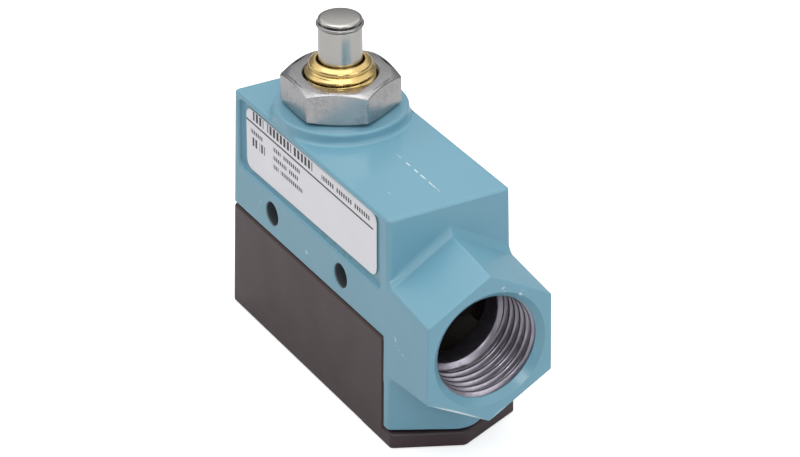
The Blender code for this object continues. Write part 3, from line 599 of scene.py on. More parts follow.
def bore_with_lips(x, z):
    """A bore along Y whose radius grows in a quarter circle at both faces."""
    lip, face = 0.35, half_at(z)
    turn = np.linspace(0, pi / 2, 6)
    flare = np.column_stack([HOLE_R + lip * (1 - np.cos(turn)), face - lip * (1 - np.sin(turn))])
    half = np.concatenate([flare, [(HOLE_R + lip, face + 2.0), (0.0, face + 2.0)]])
    return turned("mounting_bore", np.concatenate([half[::-1] * (1, -1), half]), (x, 0, z), "Y", 48)


def on_front(u, v, out, x=RECESS_X, z=RECESS_Z):
    """Points on the leaning front face about (x, z): u along X, v up the face, out away from it."""
    depth = -half_at(z) - out * cos(LEAN) + v * sin(LEAN)
    return np.stack([x + u, depth, z + v * cos(LEAN) + out * sin(LEAN)], axis=-1)


def upright_rectangle(size):
    """Corners of a rectangle about the origin, anticlockwise."""
    u, v = size[0] / 2, size[1] / 2
    return [(-u, -v), (u, -v), (u, v), (-u, v)]


def recess_tool():
    """Rounded rectangles carried into the face: wide at the lip, tucked in at the floor."""
    lip, floor = 0.45, 0.3
    turn = np.linspace(0, pi / 2, 6)
    steps = [(1.0, -lip)] + [(lip * (cos(t) - 1), lip * (sin(t) - 1)) for t in turn]
    steps += [(floor * (1 - sin(t)) - RECESS_DEPTH, floor * (1 - cos(t))) for t in turn]
    rings = []
    for out, inset in steps:
        outline = rounded(shrunk(upright_rectangle(RECESS_SIZE), inset), RECESS_R - inset)
        rings.append(on_front(outline[:, 0], outline[:, 1], out))
    return loft("label_recess", rings)


def room_tool(name, low, high, radius):
    """A box with round upright corners."""
    corners = [(low[0], low[1]), (high[0], low[1]), (high[0], high[1]), (low[0], high[1])]
    outline = rounded(corners, radius, steps=4)
    return loft(name, [np.column_stack([outline, np.full(len(outline), z)]) for z in (low[2], high[2])])


def mouth_tool():
    """The conduit's way in: a cone from the face, then a straight bore for the thread sleeve."""
    lip, collar = 0.16, 9.62
    cone_x = hub_face_x - MOUTH_DEPTH
    profile = [(0.0, hub_face_x + 1.5), (MOUTH_R + lip, hub_face_x + 1.5), (MOUTH_R + lip, hub_face_x),
               (MOUTH_R, hub_face_x - lip), (collar, cone_x + 0.25), (collar, cone_x),
               (SLEEVE_R + 0.05, cone_x), (SLEEVE_R + 0.05, ROOM[1][0] - 1.0), (0.0, ROOM[1][0] - 1.0)]
    return turned("conduit_bore", profile, (0, 0, HUB_Z), "X", 128)


print("recess floor lies", RECESS_DEPTH, "mm down")

# %% [markdown]
# ## Semi-gloss enamel on a die casting
# The casting is sprayed with a blue-green enamel and stoved. Up close such paint is never
# quite flat: it pulls into a faint orange peel about a millimetre across, which breaks up
# the edge of a reflection, and its colour drifts a little with film thickness. A flat
# colour would look like plastic, so the relief and the drift are layered as noise. A few
# handling scratches and tool marks are placed one by one, a painted highlight runs as a pale
# line along the hub face's lower edges, the mounting bores are coloured dark grey inside,
# and crumbs of glue lie along the foot of the label's recess.
# %% Enamel
def fades(tree, where, centre, half_size, turn=(0.0, 0.0, 0.0), soft=0.35):
    """A mark: 1 inside an ellipsoid of that place, half size and turn, 0 at its edge."""
    local = node(tree, "Mapping", {"Vector": where, "Location": centre, "Rotation": turn,
                                   "Scale": half_size}, vector_type="TEXTURE")
    distance = node(tree, "VectorMath", {0: local}, operation="LENGTH")
    return node(tree, "MapRange", {"Value": distance, "From Min": 1 - soft, "From Max": 1.0,
                                   "To Min": 1.0, "To Max": 0.0})


FACE_Y = -12.2
SCRATCHES = (((8.4, 1.05, TOP_Z), (26.1, 0.82, TOP_Z), 0.16, 1.0),
             ((20.3, -7.0, TOP_Z), (21.5, -6.6, TOP_Z), 0.2, 0.5),
             ((43.1, 1.9, 33.7), (43.1, 3.0, 33.4), 0.3, 0.6),
             ((43.1, 5.5, 32.3), (43.1, 6.4, 31.9), 0.25, 0.7),
             ((-1.0, FACE_Y, 24.3), (1.3, FACE_Y, 23.8), 0.16, 0.45),
             ((31.4, FACE_Y, 24.1), (32.9, FACE_Y, 21.3), 0.13, 0.5),
             ((32.7, FACE_Y, 21.3), (36.4, FACE_Y, 20.9), 0.13, 0.5),
             ((-18.1, FACE_Y, 24.3), (-16.6, FACE_Y, 26.4), 0.13, 0.35),
             ((-22.9, FACE_Y, 21.2), (-21.9, FACE_Y, 20.8), 0.16, 0.4))
# painted highlights: pale lines on the hub face's lower edges, standing in for the light their rounding
# would catch
PAINTED_EDGE_HIGHLIGHTS = (((43.1, -11.9, 15.2), (43.1, -0.4, 8.7), 0.17, 0.85),
              ((43.1, 0.2, 8.8), (43.1, 3.6, 10.7), 0.15, 0.4))
enamel, tree, shader, mm = finish("stoved_enamel_on_die_casting", Coat_Weight=0.25, Coat_Roughness=0.12)
drift = node(tree, "TexNoise", {"Vector": mm, "Scale": 1 / 16, "Detail": 3.0})
colour = node(tree, "Mix", {0: drift, 6: linear("#6c9fb3"), 7: linear("#76a8bb")}, data_type="RGBA")
breaks = node(tree, "TexNoise", {"Vector": mm, "Scale": 1 / 1.1, "Detail": 0.0})
dashes = node(tree, "MapRange", {"Value": breaks, "From Min": 0.48, "From Max": 0.56})
scratches_and_edge_highlights = [(*row, dashes) for row in SCRATCHES] + [(*row, 1.0) for row in PAINTED_EDGE_HIGHLIGHTS]
for start, end, width, strength, broken in scratches_and_edge_highlights:
    along = Vector(end) - Vector(start)
    scratch_and_highlight_mask = fades(tree, mm, (Vector(start) + Vector(end)) / 2, (along.length / 2, width, 3 * width),
                 along.to_track_quat("X", "Z").to_euler())
    shown = node(tree, "Math", {0: scratch_and_highlight_mask, 1: broken}, operation="MULTIPLY")
    shown = node(tree, "Math", {0: shown, 1: strength}, operation="MULTIPLY")
    # pale colour: real wear along the scratches, a painted highlight along the hub face's edges
    colour = node(tree, "Mix", {0: shown, 6: colour, 7: linear("#d7e6ea")}, data_type="RGBA")
# the mounting bores are coloured dark grey inside, out over their lips
for x, z in HOLES:
    bore_grey_mask = fades(tree, mm, (x, 0.0, z), (2.5, 40.0, 2.5), soft=0.08)
    colour = node(tree, "Mix", {0: bore_grey_mask, 6: colour, 7: linear("#4a5054")}, data_type="RGBA")
glue = fades(tree, mm, (11.0, -11.2, 29.9), (15.0, 1.2, 0.75), soft=0.6)
crumbs = node(tree, "TexNoise", {"Vector": mm, "Scale": 1 / 0.9, "Detail": 3.0})
crumbs = node(tree, "MapRange", {"Value": crumbs, "From Min": 0.46, "From Max": 0.62, "To Max": 0.7})
glue = node(tree, "Math", {0: glue, 1: crumbs}, operation="MULTIPLY")
colour = node(tree, "Mix", {0: glue, 6: colour, 7: linear("#6c8f8d")}, data_type="RGBA")
peel = node(tree, "TexNoise", {"Vector": mm, "Scale": 1 / 0.9, "Detail": 2.0})
swell = node(tree, "TexNoise", {"Vector": mm, "Scale": 1 / 7, "Detail": 1.0})
surface = node(tree, "Math", {0: peel, 1: 0.25, 2: swell}, operation="MULTIPLY_ADD")
gloss = node(tree, "TexNoise", {"Vector": mm, "Scale": 1 / 5})
gloss = node(tree, "MapRange", {"Value": gloss, "From Min": 0.3, "From Max": 0.7,
                                "To Min": 0.29, "To Max": 0.38})
feed(tree, shader, {"Base Color": colour, "Roughness": gloss,
                    "Normal": node(tree, "Bump", {"Height": surface, "Distance": 0.02 * MM})})
print("enamel marks:", len(scratches_and_edge_highlights))

# %% [markdown]
# ## Building the casting
# Everything is joined first and hollowed after, so that no tool leaves a skin of the
# next piece inside. Rings round the mounting screws are added once the room is cut,
# because they stand in it and steady the basic switch.
# %% Housing
PAD_R, PAD_INNER_Y, PAD_OUTER_Y = 4.0, 9.0, 10.7
COVER_BORE_R, EARTH_BORE_R, EARTH_AT, NECK_R = 2.05, 1.8, (7.0, 8.5), 6.65


def build_housing():
    """Join block, plate, hub and boss, then cut the room, bores, neck, mouth and recess."""
    shell = carve(build_block(), [build_end_plate(), build_hub(), build_boss()], "UNION")
    carve(shell, [room_tool("room", *ROOM, 1.5)], "DIFFERENCE")
    pads = []
    for x, z in HOLES:
        for side in (-1, 1):
            inner, outer = side * PAD_INNER_Y, side * PAD_OUTER_Y
            profile = soften([(0, inner), (PAD_R, inner), (PAD_R, outer), (0, outer)], (0.3, 0.01))
            pads.append(turned("pad", profile, (x, 0, z), "Y", 48))
    carve(shell, pads, "UNION")
    low, high = ROOM[1][2] - 1.0, boss_top_z + 1.0
    neck = turned("neck", [(0, low), (NECK_R, low), (NECK_R, high), (0, high)],
                  (plunger_x, 0, 0), "Z", 64)
    screw = turned("cover_screw_bore", [(0, 0), (COVER_BORE_R, 0), (COVER_BORE_R, 11.9), (0, 12.9)],
                   (SCREW_X, 0, 0), "Z", 32)
    earth = turned("ground_screw_bore", [(0, 20), (EARTH_BORE_R, 20), (EARTH_BORE_R, 31.3), (0, 32.0)],
                   (0, *EARTH_AT), "X", 32)
    bores = [bore_with_lips(x, z) for x, z in HOLES]
    for tool in (*bores, mouth_tool(), neck, recess_tool(), screw, earth):
        carve(shell, [tool], "DIFFERENCE")
    return shell


hand_over(build_housing(), "root", enamel, ["housing"])

# %% [markdown]
# ## Threads
# A thread is a helix: going once round, the groove moves on by one pitch. If the grid's
# rows ran straight round, the crest would cut across them and look like stairs. So each
# row climbs one pitch per turn and follows the crest, and only the two ends are cut off
# flat. Displacing a cylinder with a texture would be quicker, but its crests stay soft.
# %% Thread surface
def thread(angle, low, high, pitch, crest, root, rows=18, flat=0.12):
    """(radius, height) grids over the angles of one round. Height climbs one pitch a round
    and is held between low and high; radius goes from root to crest and back once a pitch,
    as a V whose tips are flattened by the share `flat` and rounded by a smooth step."""
    turns = int(np.ceil((high - low) / pitch)) + 1
    step = np.arange(turns * rows + 1)[:, None] / rows
    along = (angle - angle[0]) / (2 * pi)
    height = np.clip(low + pitch * (step - 1 + along), low, high)
    phase = (height - low) / pitch - along
    vee = np.abs((phase % 1.0) * 2 - 1)
    share = np.clip((vee - flat) / (1 - 2 * flat), 0, 1)
    return root + (crest - root) * share ** 2 * (3 - 2 * share), height


def plain_rows(profile, angle):
    """Rows of a profile of (radius, height) points, repeated for every angle."""
    profile = np.asarray(profile, float)
    ones = np.ones(len(angle))
    return profile[:, :1] * ones, profile[:, 1:] * ones


def stacked(*parts, closed=True):
    """Join (radius, height) grids one after another; unless both ends lie on the axis, they
    close on the first row."""
    ends = parts[:1] if closed else ()
    radius = np.concatenate([part[0] for part in parts] + [part[0][:1] for part in ends])
    height = np.concatenate([part[1] for part in parts] + [part[1][:1] for part in ends])
    return radius, height


whole_round = np.linspace(0, 2 * pi, 121)
print("a thread of 5 mm has a grid of", thread(whole_round, 0.0, 5.0, 1.5, 6.3, 5.8)[0].shape)

# %% [markdown]
# ## Bare metal inside the hub
# The hub is tapped after painting, so its thread is bare die-cast zinc, dulled to a dark
# grey-violet, with bright flanks where the tap burnished it. It is a sleeve of its own:
# the pipe thread, the ledge behind it and the neck that leads inside. Fine cutting lines
# run round it, drawn 0.12 mm apart so that they show.
# %% Conduit thread
PIPE_PITCH, PIPE_CREST, PIPE_ROOT = 1.814, 9.25, 10.2
LEDGE_X, STEP_R = 31.9, 8.4


def build_conduit_thread():
    """Pipe thread opened by a cone at the mouth; behind it the ledge, the neck and the outside."""
    front = hub_face_x - MOUTH_DEPTH - 0.02
    radius, height = thread(whole_round, LEDGE_X, front, PIPE_PITCH, PIPE_CREST, PIPE_ROOT)
    radius = np.maximum(radius, 9.6 + (height - front) * 0.8)
    back = ROOM[1][0] + 0.1
    outside = [(SLEEVE_R, front), (SLEEVE_R, back), (STEP_R + 0.3, back), (STEP_R, back + 0.3)]
    ledge = [(STEP_R, LEDGE_X - 0.7), (STEP_R + 0.15, LEDGE_X - 0.5), (9.3, LEDGE_X - 0.2),
             (9.6, LEDGE_X)]
    grid = stacked((radius, height), plain_rows(outside + ledge, whole_round))
    return skin("conduit_thread", on_axis(*grid, whole_round, (0, 0, HUB_Z), "X"))


bare_zinc, tree, shader, mm = finish("tapped_bare_die_cast_zinc", Metallic=1.0, Roughness=0.36)
cloud = node(tree, "TexNoise", {"Vector": mm, "Scale": 1 / 2.5, "Detail": 4.0})
tone = node(tree, "Mix", {0: cloud, 6: linear("#8a8590"), 7: linear("#b6b2bc")}, data_type="RGBA")
dull = node(tree, "TexNoise", {"Vector": mm, "Scale": 1 / 0.6})
dull = node(tree, "MapRange", {"Value": dull, "From Min": 0.3, "From Max": 0.7,
                               "To Min": 0.28, "To Max": 0.44})
stretch = node(tree, "Mapping", {"Vector": mm, "Scale": (1 / 0.12, 0.15, 0.15)})
lines = node(tree, "TexNoise", {"Vector": stretch, "Scale": 1.0, "Detail": 1.0})
feed(tree, shader, {"Base Color": tone, "Roughness": dull,
                    "Normal": node(tree, "Bump", {"Height": lines, "Distance": 0.01 * MM})})
hand_over(build_conduit_thread(), "root", bare_zinc, [], smooth=40, level=False)

# %% [markdown]
# ## The moulded cover
# The cover is compression-moulded phenolic: dark brown-black, satin, slightly cloudy from
# its wood-flour filler. Along the rounded top edge the colour turns a little redder: a
# painted brownish highlight. It is built like the casting: a leaning block on a pointed
# floor, then hollowed, and the seal's own shape, a little grown, cuts the track that the seal lies in.
# %% Cover
COVER_TOP_Z, COVER_RIGHT_X, FLOOR_Z, RIM_TOP_Z = 20.7, 27.5, 2.4, 2.9
RIM_SLOPE, RIM_X, RIM_Y, RIM_NOSE_R, RIM_IN = 0.446, 36.2, -0.6, 1.6, 0.02


def panel_section(z, inset):
    """Plan of the cover's box: round corners at the left end, small ones at the open end."""
    x0, y1 = left_at(z) + inset, half_at(z) - inset
    corners = [(x0, -y1), (COVER_RIGHT_X, -y1), (COVER_RIGHT_X, y1), (x0, y1)]
    left_r = CORNER_R - min(inset, CORNER_R - 0.3)
    outline = rounded(corners, [left_r, 0.3, 0.3, left_r])
    return np.column_stack([outline, np.full(len(outline), z)])


def rim_section(z, inset):
    """Plan of the pointed floor that shows below the hub, a hair inside the box's sides."""
    y1 = half_at(z) - RIM_IN
    flank_x = RIM_X - RIM_SLOPE * y1
    corners = [(20.0, -y1), (flank_x, -y1), (RIM_X, RIM_Y), (flank_x, y1), (20.0, y1)]
    radius = np.array([0.5, 0.8, RIM_NOSE_R, 0.8, 0.5]) - min(inset, 0.35)
    outline = rounded(shrunk(corners, inset), radius, steps=8)
    return np.column_stack([outline, np.full(len(outline), z)])


def grown_copy(name, clearance):
    """A welded copy of a CAD node, every point moved out along its normal."""
    mesh = nodes[name].data.copy()
    weld(mesh, 0.001 * MM)
    points, out = np.empty(len(mesh.vertices) * 3), np.empty(len(mesh.vertices) * 3)
    mesh.vertices.foreach_get("co", points)
    mesh.vertex_normals.foreach_get("vector", out)
    mesh.vertices.foreach_set("co", points + out * clearance * MM)
    grown = bpy.data.objects.new(name + "_track", mesh)
    bpy.context.scene.collection.objects.link(grown)
    return grown


WALL_LEFT_X, WALL_RIGHT_X, WALL_Y = -25.5, 28.2, 10.0
LEG_X, LEG_Y, OPEN_Z = 26.35, 11.2, 30.0
SCREW_HEAD_R, SCREW_HEAD_DEPTH = 3.2, 1.7


def build_cover():
    """Box and pointed floor, hollowed, opened towards the hub, with the seal's track."""
    foot = [panel_section(drop, inset) for drop, inset in quarter(0.5, 4)]
    top = [panel_section(COVER_TOP_Z - drop, inset) for drop, inset in quarter(0.6, 6)[::-1]]
    shell = loft("cover_shell", foot + [panel_section(10.0, 0.0)] + top)
    low = [rim_section(0.01 + drop, inset) for drop, inset in quarter(0.35, 4)]
    high = [rim_section(RIM_TOP_Z - drop, inset) for drop, inset in quarter(0.5, 4)[::-1]]
    carve(shell, [loft("rim", low + high)], "UNION")
    room = room_tool("cover_room", (WALL_LEFT_X, -WALL_Y, FLOOR_Z), (WALL_RIGHT_X, WALL_Y, OPEN_Z), 0.8)
    opening = room_tool("leg_opening", (LEG_X, -LEG_Y, FLOOR_Z), (WALL_RIGHT_X, LEG_Y, OPEN_Z), 0.2)
    head = soften([(0, SCREW_HEAD_DEPTH), (SCREW_HEAD_R, SCREW_HEAD_DEPTH), (SCREW_HEAD_R, 0.0),
                   (SCREW_HEAD_R + 0.8, -0.8), (0, -0.8)], 0.2)
    head = turned("head_bore", head, (SCREW_X, 0, 0), "Z", 48)
    shank = turned("shank_bore", [(0, 0), (COVER_BORE_R, 0), (COVER_BORE_R, 5.0), (0, 5.0)],
                   (SCREW_X, 0, 0), "Z", 32)
    return carve(shell, [room, opening, grown_copy("cover_gasket", 0.2), head, shank], "DIFFERENCE")


phenolic, tree, shader, mm = finish("moulded_brown_phenolic", Roughness=0.4, Specular_IOR_Level=0.5)
cloud = node(tree, "TexNoise", {"Vector": mm, "Scale": 1 / 6, "Detail": 5.0, "Roughness": 0.6})
tone = node(tree, "Mix", {0: cloud, 6: linear("#372729"), 7: linear("#413033")}, data_type="RGBA")
fleck = node(tree, "TexNoise", {"Vector": mm, "Scale": 1 / 0.45, "Detail": 1.0})
fleck = node(tree, "MapRange", {"Value": fleck, "From Min": 0.70, "From Max": 0.76, "To Max": 0.5})
tone = node(tree, "Mix", {0: fleck, 6: tone, 7: linear("#5c3f36")}, data_type="RGBA")
# painted highlight: the rounded top edge turns a little redder brown, where light catches it
top_edge_highlight = node(tree, "SeparateXYZ", {0: mm}).outputs["Z"]
top_edge_highlight = node(tree, "MapRange", {"Value": top_edge_highlight, "From Min": COVER_TOP_Z - 0.6, "From Max": COVER_TOP_Z,
                                "To Max": 0.6})
tone = node(tree, "Mix", {0: top_edge_highlight, 6: tone, 7: linear("#4a2c22")}, data_type="RGBA")
gloss = node(tree, "TexNoise", {"Vector": mm, "Scale": 1 / 9, "Detail": 3.0})
gloss = node(tree, "MapRange", {"Value": gloss, "From Min": 0.3, "From Max": 0.7,
                                "To Min": 0.36, "To Max": 0.44})
grain = node(tree, "TexNoise", {"Vector": mm, "Scale": 1 / 0.5, "Detail": 3.0})
feed(tree, shader, {"Base Color": tone, "Roughness": gloss,
                    "Normal": node(tree, "Bump", {"Height": grain, "Distance": 0.006 * MM})})
hand_over(build_cover(), "root", phenolic, ["cover"])

# %% [markdown]
# ## The lock nut
# A hexagon nut is faced on a lathe, which cuts the corners back to a cone: where the cone
# meets each flat it leaves the curved line that makes a nut look like a nut. The grid
# works that line out, since every column knows how far out its flat lies, and the cone's
# height follows from that. Zinc plating shows as soft blue-grey clouds on satin steel.
# %% Lock nut
nut_low, nut_high = span_mm("lock_nut")
NUT_TURN, NUT_POINT_R = radians(57.7), 10.7
BUSHING_PITCH = 1.5


def build_nut():
    """Columns round a softly cornered hexagon; rows go up the threaded bore, out over the top
    face, down the cone to the flat, down the flat, and back under the low cone."""
    low, high = nut_low[2], nut_high[2]
    turns = NUT_TURN + np.arange(6) * pi / 3
    corners = NUT_POINT_R * np.column_stack([np.cos(turns), np.sin(turns)])
    outline = rounded(corners, 0.35, steps=5, per_side=20)
    out = np.hypot(*outline.T)
    angle = np.unwrap(np.arctan2(outline[:, 1], outline[:, 0]))
    out, angle = np.append(out, out[0]), np.append(angle, angle[0] + 2 * pi)
    top_r, top_slope, low_r, low_slope, arris = 9.0, 0.46, 9.15, 0.28, 0.09
    mouth = 6.85
    bore, bore_height = thread(angle, low, high, BUSHING_PITCH, 6.42, 6.7, rows=10)
    bore = np.maximum(bore, mouth - np.minimum(bore_height - low, high - bore_height))
    ones = np.ones(len(angle))
    edge = high - (out - top_r) * top_slope
    foot = low + (out - low_r) * low_slope
    rows = [(mouth + 0.1, high), (top_r - 0.25, high), (top_r + 0.12, high - 0.12 * top_slope),
            (out - 0.6, edge + 0.6 * top_slope), (out - arris, edge + arris * top_slope),
            (out, edge - arris), (out, edge - 0.6), (out, foot + 0.6), (out, foot + arris),
            (out - arris, foot - arris * low_slope),
            (low_r - 0.1, low), (mouth + 0.1, low)]
    faces = (np.stack([radius * ones for radius, _ in rows]), np.stack([z * ones for _, z in rows]))
    grid = stacked((bore, bore_height), faces)
    return skin("hex_lock_nut", on_axis(*grid, angle, (plunger_x, 0, 0)))


zinc, tree, shader, mm = finish("zinc_plated_steel", Metallic=1.0)
cloud = node(tree, "TexNoise", {"Vector": mm, "Scale": 1 / 0.7, "Detail": 6.0, "Roughness": 0.75})
cloud = node(tree, "MapRange", {"Value": cloud, "From Min": 0.42, "From Max": 0.66})
patch = node(tree, "TexNoise", {"Vector": mm, "Scale": 1 / 5.5})
patch = node(tree, "MapRange", {"Value": patch, "From Min": 0.50, "From Max": 0.66, "To Max": 0.65})
spots = node(tree, "Math", {0: cloud, 1: patch}, operation="MULTIPLY")
grain = node(tree, "TexNoise", {"Vector": mm, "Scale": 1 / 0.4, "Detail": 3.0})
tone = node(tree, "Mix", {0: grain, 6: linear("#abaaac"), 7: linear("#c2c0bf")}, data_type="RGBA")
tone = node(tree, "Mix", {0: spots, 6: tone, 7: linear("#8b8a92")}, data_type="RGBA")
dull = node(tree, "MapRange", {"Value": spots, "To Min": 0.25, "To Max": 0.4})
feed(tree, shader, {"Base Color": tone, "Roughness": dull,
                    "Normal": node(tree, "Bump", {"Height": grain, "Distance": 0.005 * MM})})
hand_over(build_nut(), "root", zinc, ["lock_nut"], smooth=20, level=False)

# %% [markdown]
# ## The brass bushing
# The bushing is turned from free-cutting brass and left bright. Its thread shows above
# the nut and fades out under a rounded rim; inside, a close bore guides the plunger and
# holds a seal, and widens below for the spring. Turned brass throws long soft highlights
# round each ridge, so the radii of rim and crest matter more to the eye than the colour.
# %% Threaded bushing
bushing_low, bushing_high = span_mm("threaded_bushing")


def build_bushing():
    """Plain shank, thread that fades out upwards, rounded rim, then down the guide bore past
    the seal's groove and the spring room, back to the foot."""
    low, high = bushing_low[2], bushing_high[2]
    thread_low, thread_high = 45.62, high - 1.35
    shank_r, root_r, guide_r, room_r = 6.35, 5.8, 4.15, 5.3
    radius, height = thread(whole_round, thread_low, thread_high, BUSHING_PITCH, 6.34, root_r, rows=24)
    radius = np.minimum(radius, 5.45 + 1.25 * (thread_high - height))
    shank = soften([(room_r, low + 0.4), (room_r, low), (shank_r, low), (shank_r, thread_low - 0.7),
                    (root_r, thread_low)], 0.3)
    rim = soften([(5.45, thread_high + 0.02), (5.7, thread_high + 0.2), (5.6, high - 0.55), (4.7, high),
                  (4.3, high - 0.02), (guide_r, high - 0.5), (guide_r, 54.0)],
                 (0.2, 0.4, 0.5, 0.2, 0.2), 8)
    bore = soften([(guide_r, 53.6), (guide_r, 52.6), (room_r, 52.6), (room_r, 51.2), (guide_r, 51.2),
                   (guide_r, 50.0), (room_r, 50.0), (room_r, 45.0)], 0.1, 2)
    grid = stacked(plain_rows(shank, whole_round), (radius, height), plain_rows(rim, whole_round),
                   plain_rows(bore, whole_round))
    return skin("brass_bushing", on_axis(*grid, whole_round, (plunger_x, 0, 0)))


brass, tree, shader, mm = finish("free_cutting_brass_turned", Metallic=1.0)
cloud = node(tree, "TexNoise", {"Vector": mm, "Scale": 1 / 3, "Detail": 3.0})
tone = node(tree, "Mix", {0: cloud, 6: linear("#dfbe78"), 7: linear("#edd394")}, data_type="RGBA")
rings = node(tree, "Mapping", {"Vector": mm, "Scale": (0.1, 0.1, 1 / 0.15)})
rings = node(tree, "TexNoise", {"Vector": rings, "Scale": 1.0, "Detail": 1.0})
dull = node(tree, "TexNoise", {"Vector": mm, "Scale": 1 / 0.8})
dull = node(tree, "MapRange", {"Value": dull, "From Min": 0.3, "From Max": 0.7,
                               "To Min": 0.2, "To Max": 0.3})
feed(tree, shader, {"Base Color": tone, "Roughness": dull,
                    "Normal": node(tree, "Bump", {"Height": rings, "Distance": 0.002 * MM})})
hand_over(build_bushing(), "root", brass, ["threaded_bushing"], smooth=50, level=False)

# %% [markdown]
# ## The plunger
# The plunger is ground stainless with fine turning lines and a crowned end, so that a cam
# or a roller meets no edge. The crown is a faint dome with a quarter-elliptic rim, which
# catches the brightest light. A full dome would be the easier curve, but it hides the dark
# groove over the ring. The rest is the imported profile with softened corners, hollow below,
# where the overtravel spring sits. The turning lines are a relief that changes only along
# the height, drawn 0.2 mm apart so that they show.
# %% Plunger
plunger_low, plunger_high = span_mm("plunger")
ring_z = float(span_mm("plunger_ring")[0][2] + span_mm("plunger_ring")[1][2]) / 2


def build_plunger():
    """Crown: the dome falls with the radius squared, and its rim is a quarter of an ellipse.
    Then down the outer side past the groove, and up the spring room to the axis."""
    high, low, r, groove = plunger_high[2], plunger_low[2], 3.9, 3.4
    flat_r, dome, rim_h = 3.15, 0.08, 0.42
    radius = np.linspace(0, flat_r, 12)
    turn = np.linspace(0, pi / 2, 9)[1:]
    dome_curve = np.column_stack([radius, high - dome * (radius / flat_r) ** 2])
    rim_curve = np.column_stack([flat_r + (r - flat_r) * np.sin(turn),
                                 high - dome - rim_h * (1 - np.cos(turn))])
    crown = np.concatenate([dome_curve, rim_curve])
    neck = soften([(r, high - dome - rim_h - 0.03), (r - 0.05, ring_z + 0.66), (groove, ring_z + 0.66),
                   (groove, ring_z - 0.45), (r, ring_z - 0.45), (r, 60.0)], 0.06, 5)
    shoulder_r, mouth_r, room_r = 5.0, 2.1, 2.9
    body = soften([(r, 55.0), (r, 49.7), (shoulder_r, 49.7), (shoulder_r, 48.6), (r, 48.6), (r, low),
                   (mouth_r, low), (mouth_r, 45.6), (room_r, 45.8), (room_r, 58.0), (0, 58.4)], 0.15)
    return turned("turned_plunger", np.concatenate([crown, neck, body]), (plunger_x, 0, 0), steps=96)


stainless = clouded("turned_stainless_steel", "#b3b1ad", "#cecbc7", 1.0, (0.18, 0.28), 0.002,
                    (0.02, 0.02, 1 / 0.2), detail=2.0, Metallic=1.0)
hand_over(build_plunger(), "plunger", stainless, ["plunger"], smooth=50, level=False)

# %% [markdown]
# ## Wires: the ring and the springs
# A snap ring and a coil spring are both round wire along a path, so one function carries
# a circle along any curve, square to its direction. A curve object with a round bevel
# could do it, but its caps stay loose; here both ends close. The ring is open at the back
# by a few degrees so that it can be sprung into its groove; the coils' last turns lie
# flat against their seats, as on a closed and ground spring. At full travel the outer
# spring keeps 3.3 of its 8.8 mm, and the inner one 2.7 of its 7.7 mm.
# %% Wire along a path
def wire(name, path, radius, sides=14):
    """Circles carried along a path about the plunger's axis: each lies in the plane of the
    outward direction and the one square to both it and the path."""
    path = np.asarray(path, float)
    ahead = np.gradient(path, axis=0)
    ahead /= np.linalg.norm(ahead, axis=1, keepdims=True)
    outward = path * (1, 1, 0)
    outward /= np.linalg.norm(outward, axis=1, keepdims=True)
    upward = np.cross(outward, ahead)
    turn = np.linspace(0, 2 * pi, sides, endpoint=False)
    across, up = np.cos(turn)[None, :, None], np.sin(turn)[None, :, None]
    circle = across * outward[:, None] + up * upward[:, None]
    rings = path[:, None] + radius * circle + np.array([plunger_x, 0, 0])
    return loft(name, list(rings))


def coil_path(radius, wire_d, low, high, turns):
    """Helix with one closed turn at each end: those climb by the wire's own diameter."""
    turn = np.linspace(0, turns, int(turns * 48) + 1)
    low, high = low + wire_d / 2, high - wire_d / 2
    climb = np.interp(turn, [0, 0.9, turns - 0.9, turns], [low, low + wire_d, high - wire_d, high])
    return np.column_stack([radius * np.cos(2 * pi * turn), radius * np.sin(2 * pi * turn), climb])


GAP_TURN, GAP_HALF = radians(152), radians(9)
ring_angle = np.linspace(GAP_TURN + GAP_HALF, GAP_TURN - GAP_HALF + 2 * pi, 120)
ring_path = np.column_stack([3.95 * np.cos(ring_angle), 3.95 * np.sin(ring_angle),
                             np.full(len(ring_angle), ring_z)])
spring_wire = clouded("drawn_spring_steel", "#9a9a9c", "#b7b6b4", 0.7, (0.24, 0.38), 0.003, detail=3.0,
                      Metallic=1.0)
snap_ring = wire("snap_ring", ring_path, 0.3)
hand_over(snap_ring, "plunger", spring_wire, ["plunger_ring"], level=False)

low, high = span_mm("return_spring")
outer = hand_over(wire("coiled_return_spring", coil_path(4.6, 0.7, low[2], high[2], 5.5), 0.35), "root",
                  spring_wire, ["return_spring"], level=False)
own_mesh(outer)
low, high = span_mm("overtravel_spring")
inner = hand_over(wire("coiled_overtravel_spring", coil_path(2.2, 0.5, low[2], high[2], 6.5), 0.25),
                  "plunger", spring_wire, ["overtravel_spring"], level=False)
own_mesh(inner)

# %% [markdown]
# ## The identification label
# A white vinyl label lies in the recess, printed with a ruled line. Lettering is left out:
# rows of plain, even strokes hold the places where print would be. The label is a sheet
# 0.2 mm thick with rounded corners; its print is part of the material, and each block of
# it is laid out in millimetres along the front and turned a little about its own middle.
# %% Label
LABEL_X, LABEL_Z, LABEL_SIZE, LABEL_R, LABEL_TILT = 0.6, 36.5, (47.6, 12.0), 1.8, radians(0.6)


def build_label():
    """Rounded rectangles from the back, over the cut edge, to the printed front."""
    rings = []
    for out, inset in ((-0.75, 0.02), (-0.73, 0.0), (-0.58, 0.0), (-0.55, 0.05)):
        u, v = rounded(shrunk(upright_rectangle(LABEL_SIZE), inset), LABEL_R - inset, steps=10).T
        u, v = u * cos(LABEL_TILT) - v * sin(LABEL_TILT), u * sin(LABEL_TILT) + v * cos(LABEL_TILT)
        rings.append(on_front(u, v, out, LABEL_X, LABEL_Z))
    return loft("vinyl_label", rings)


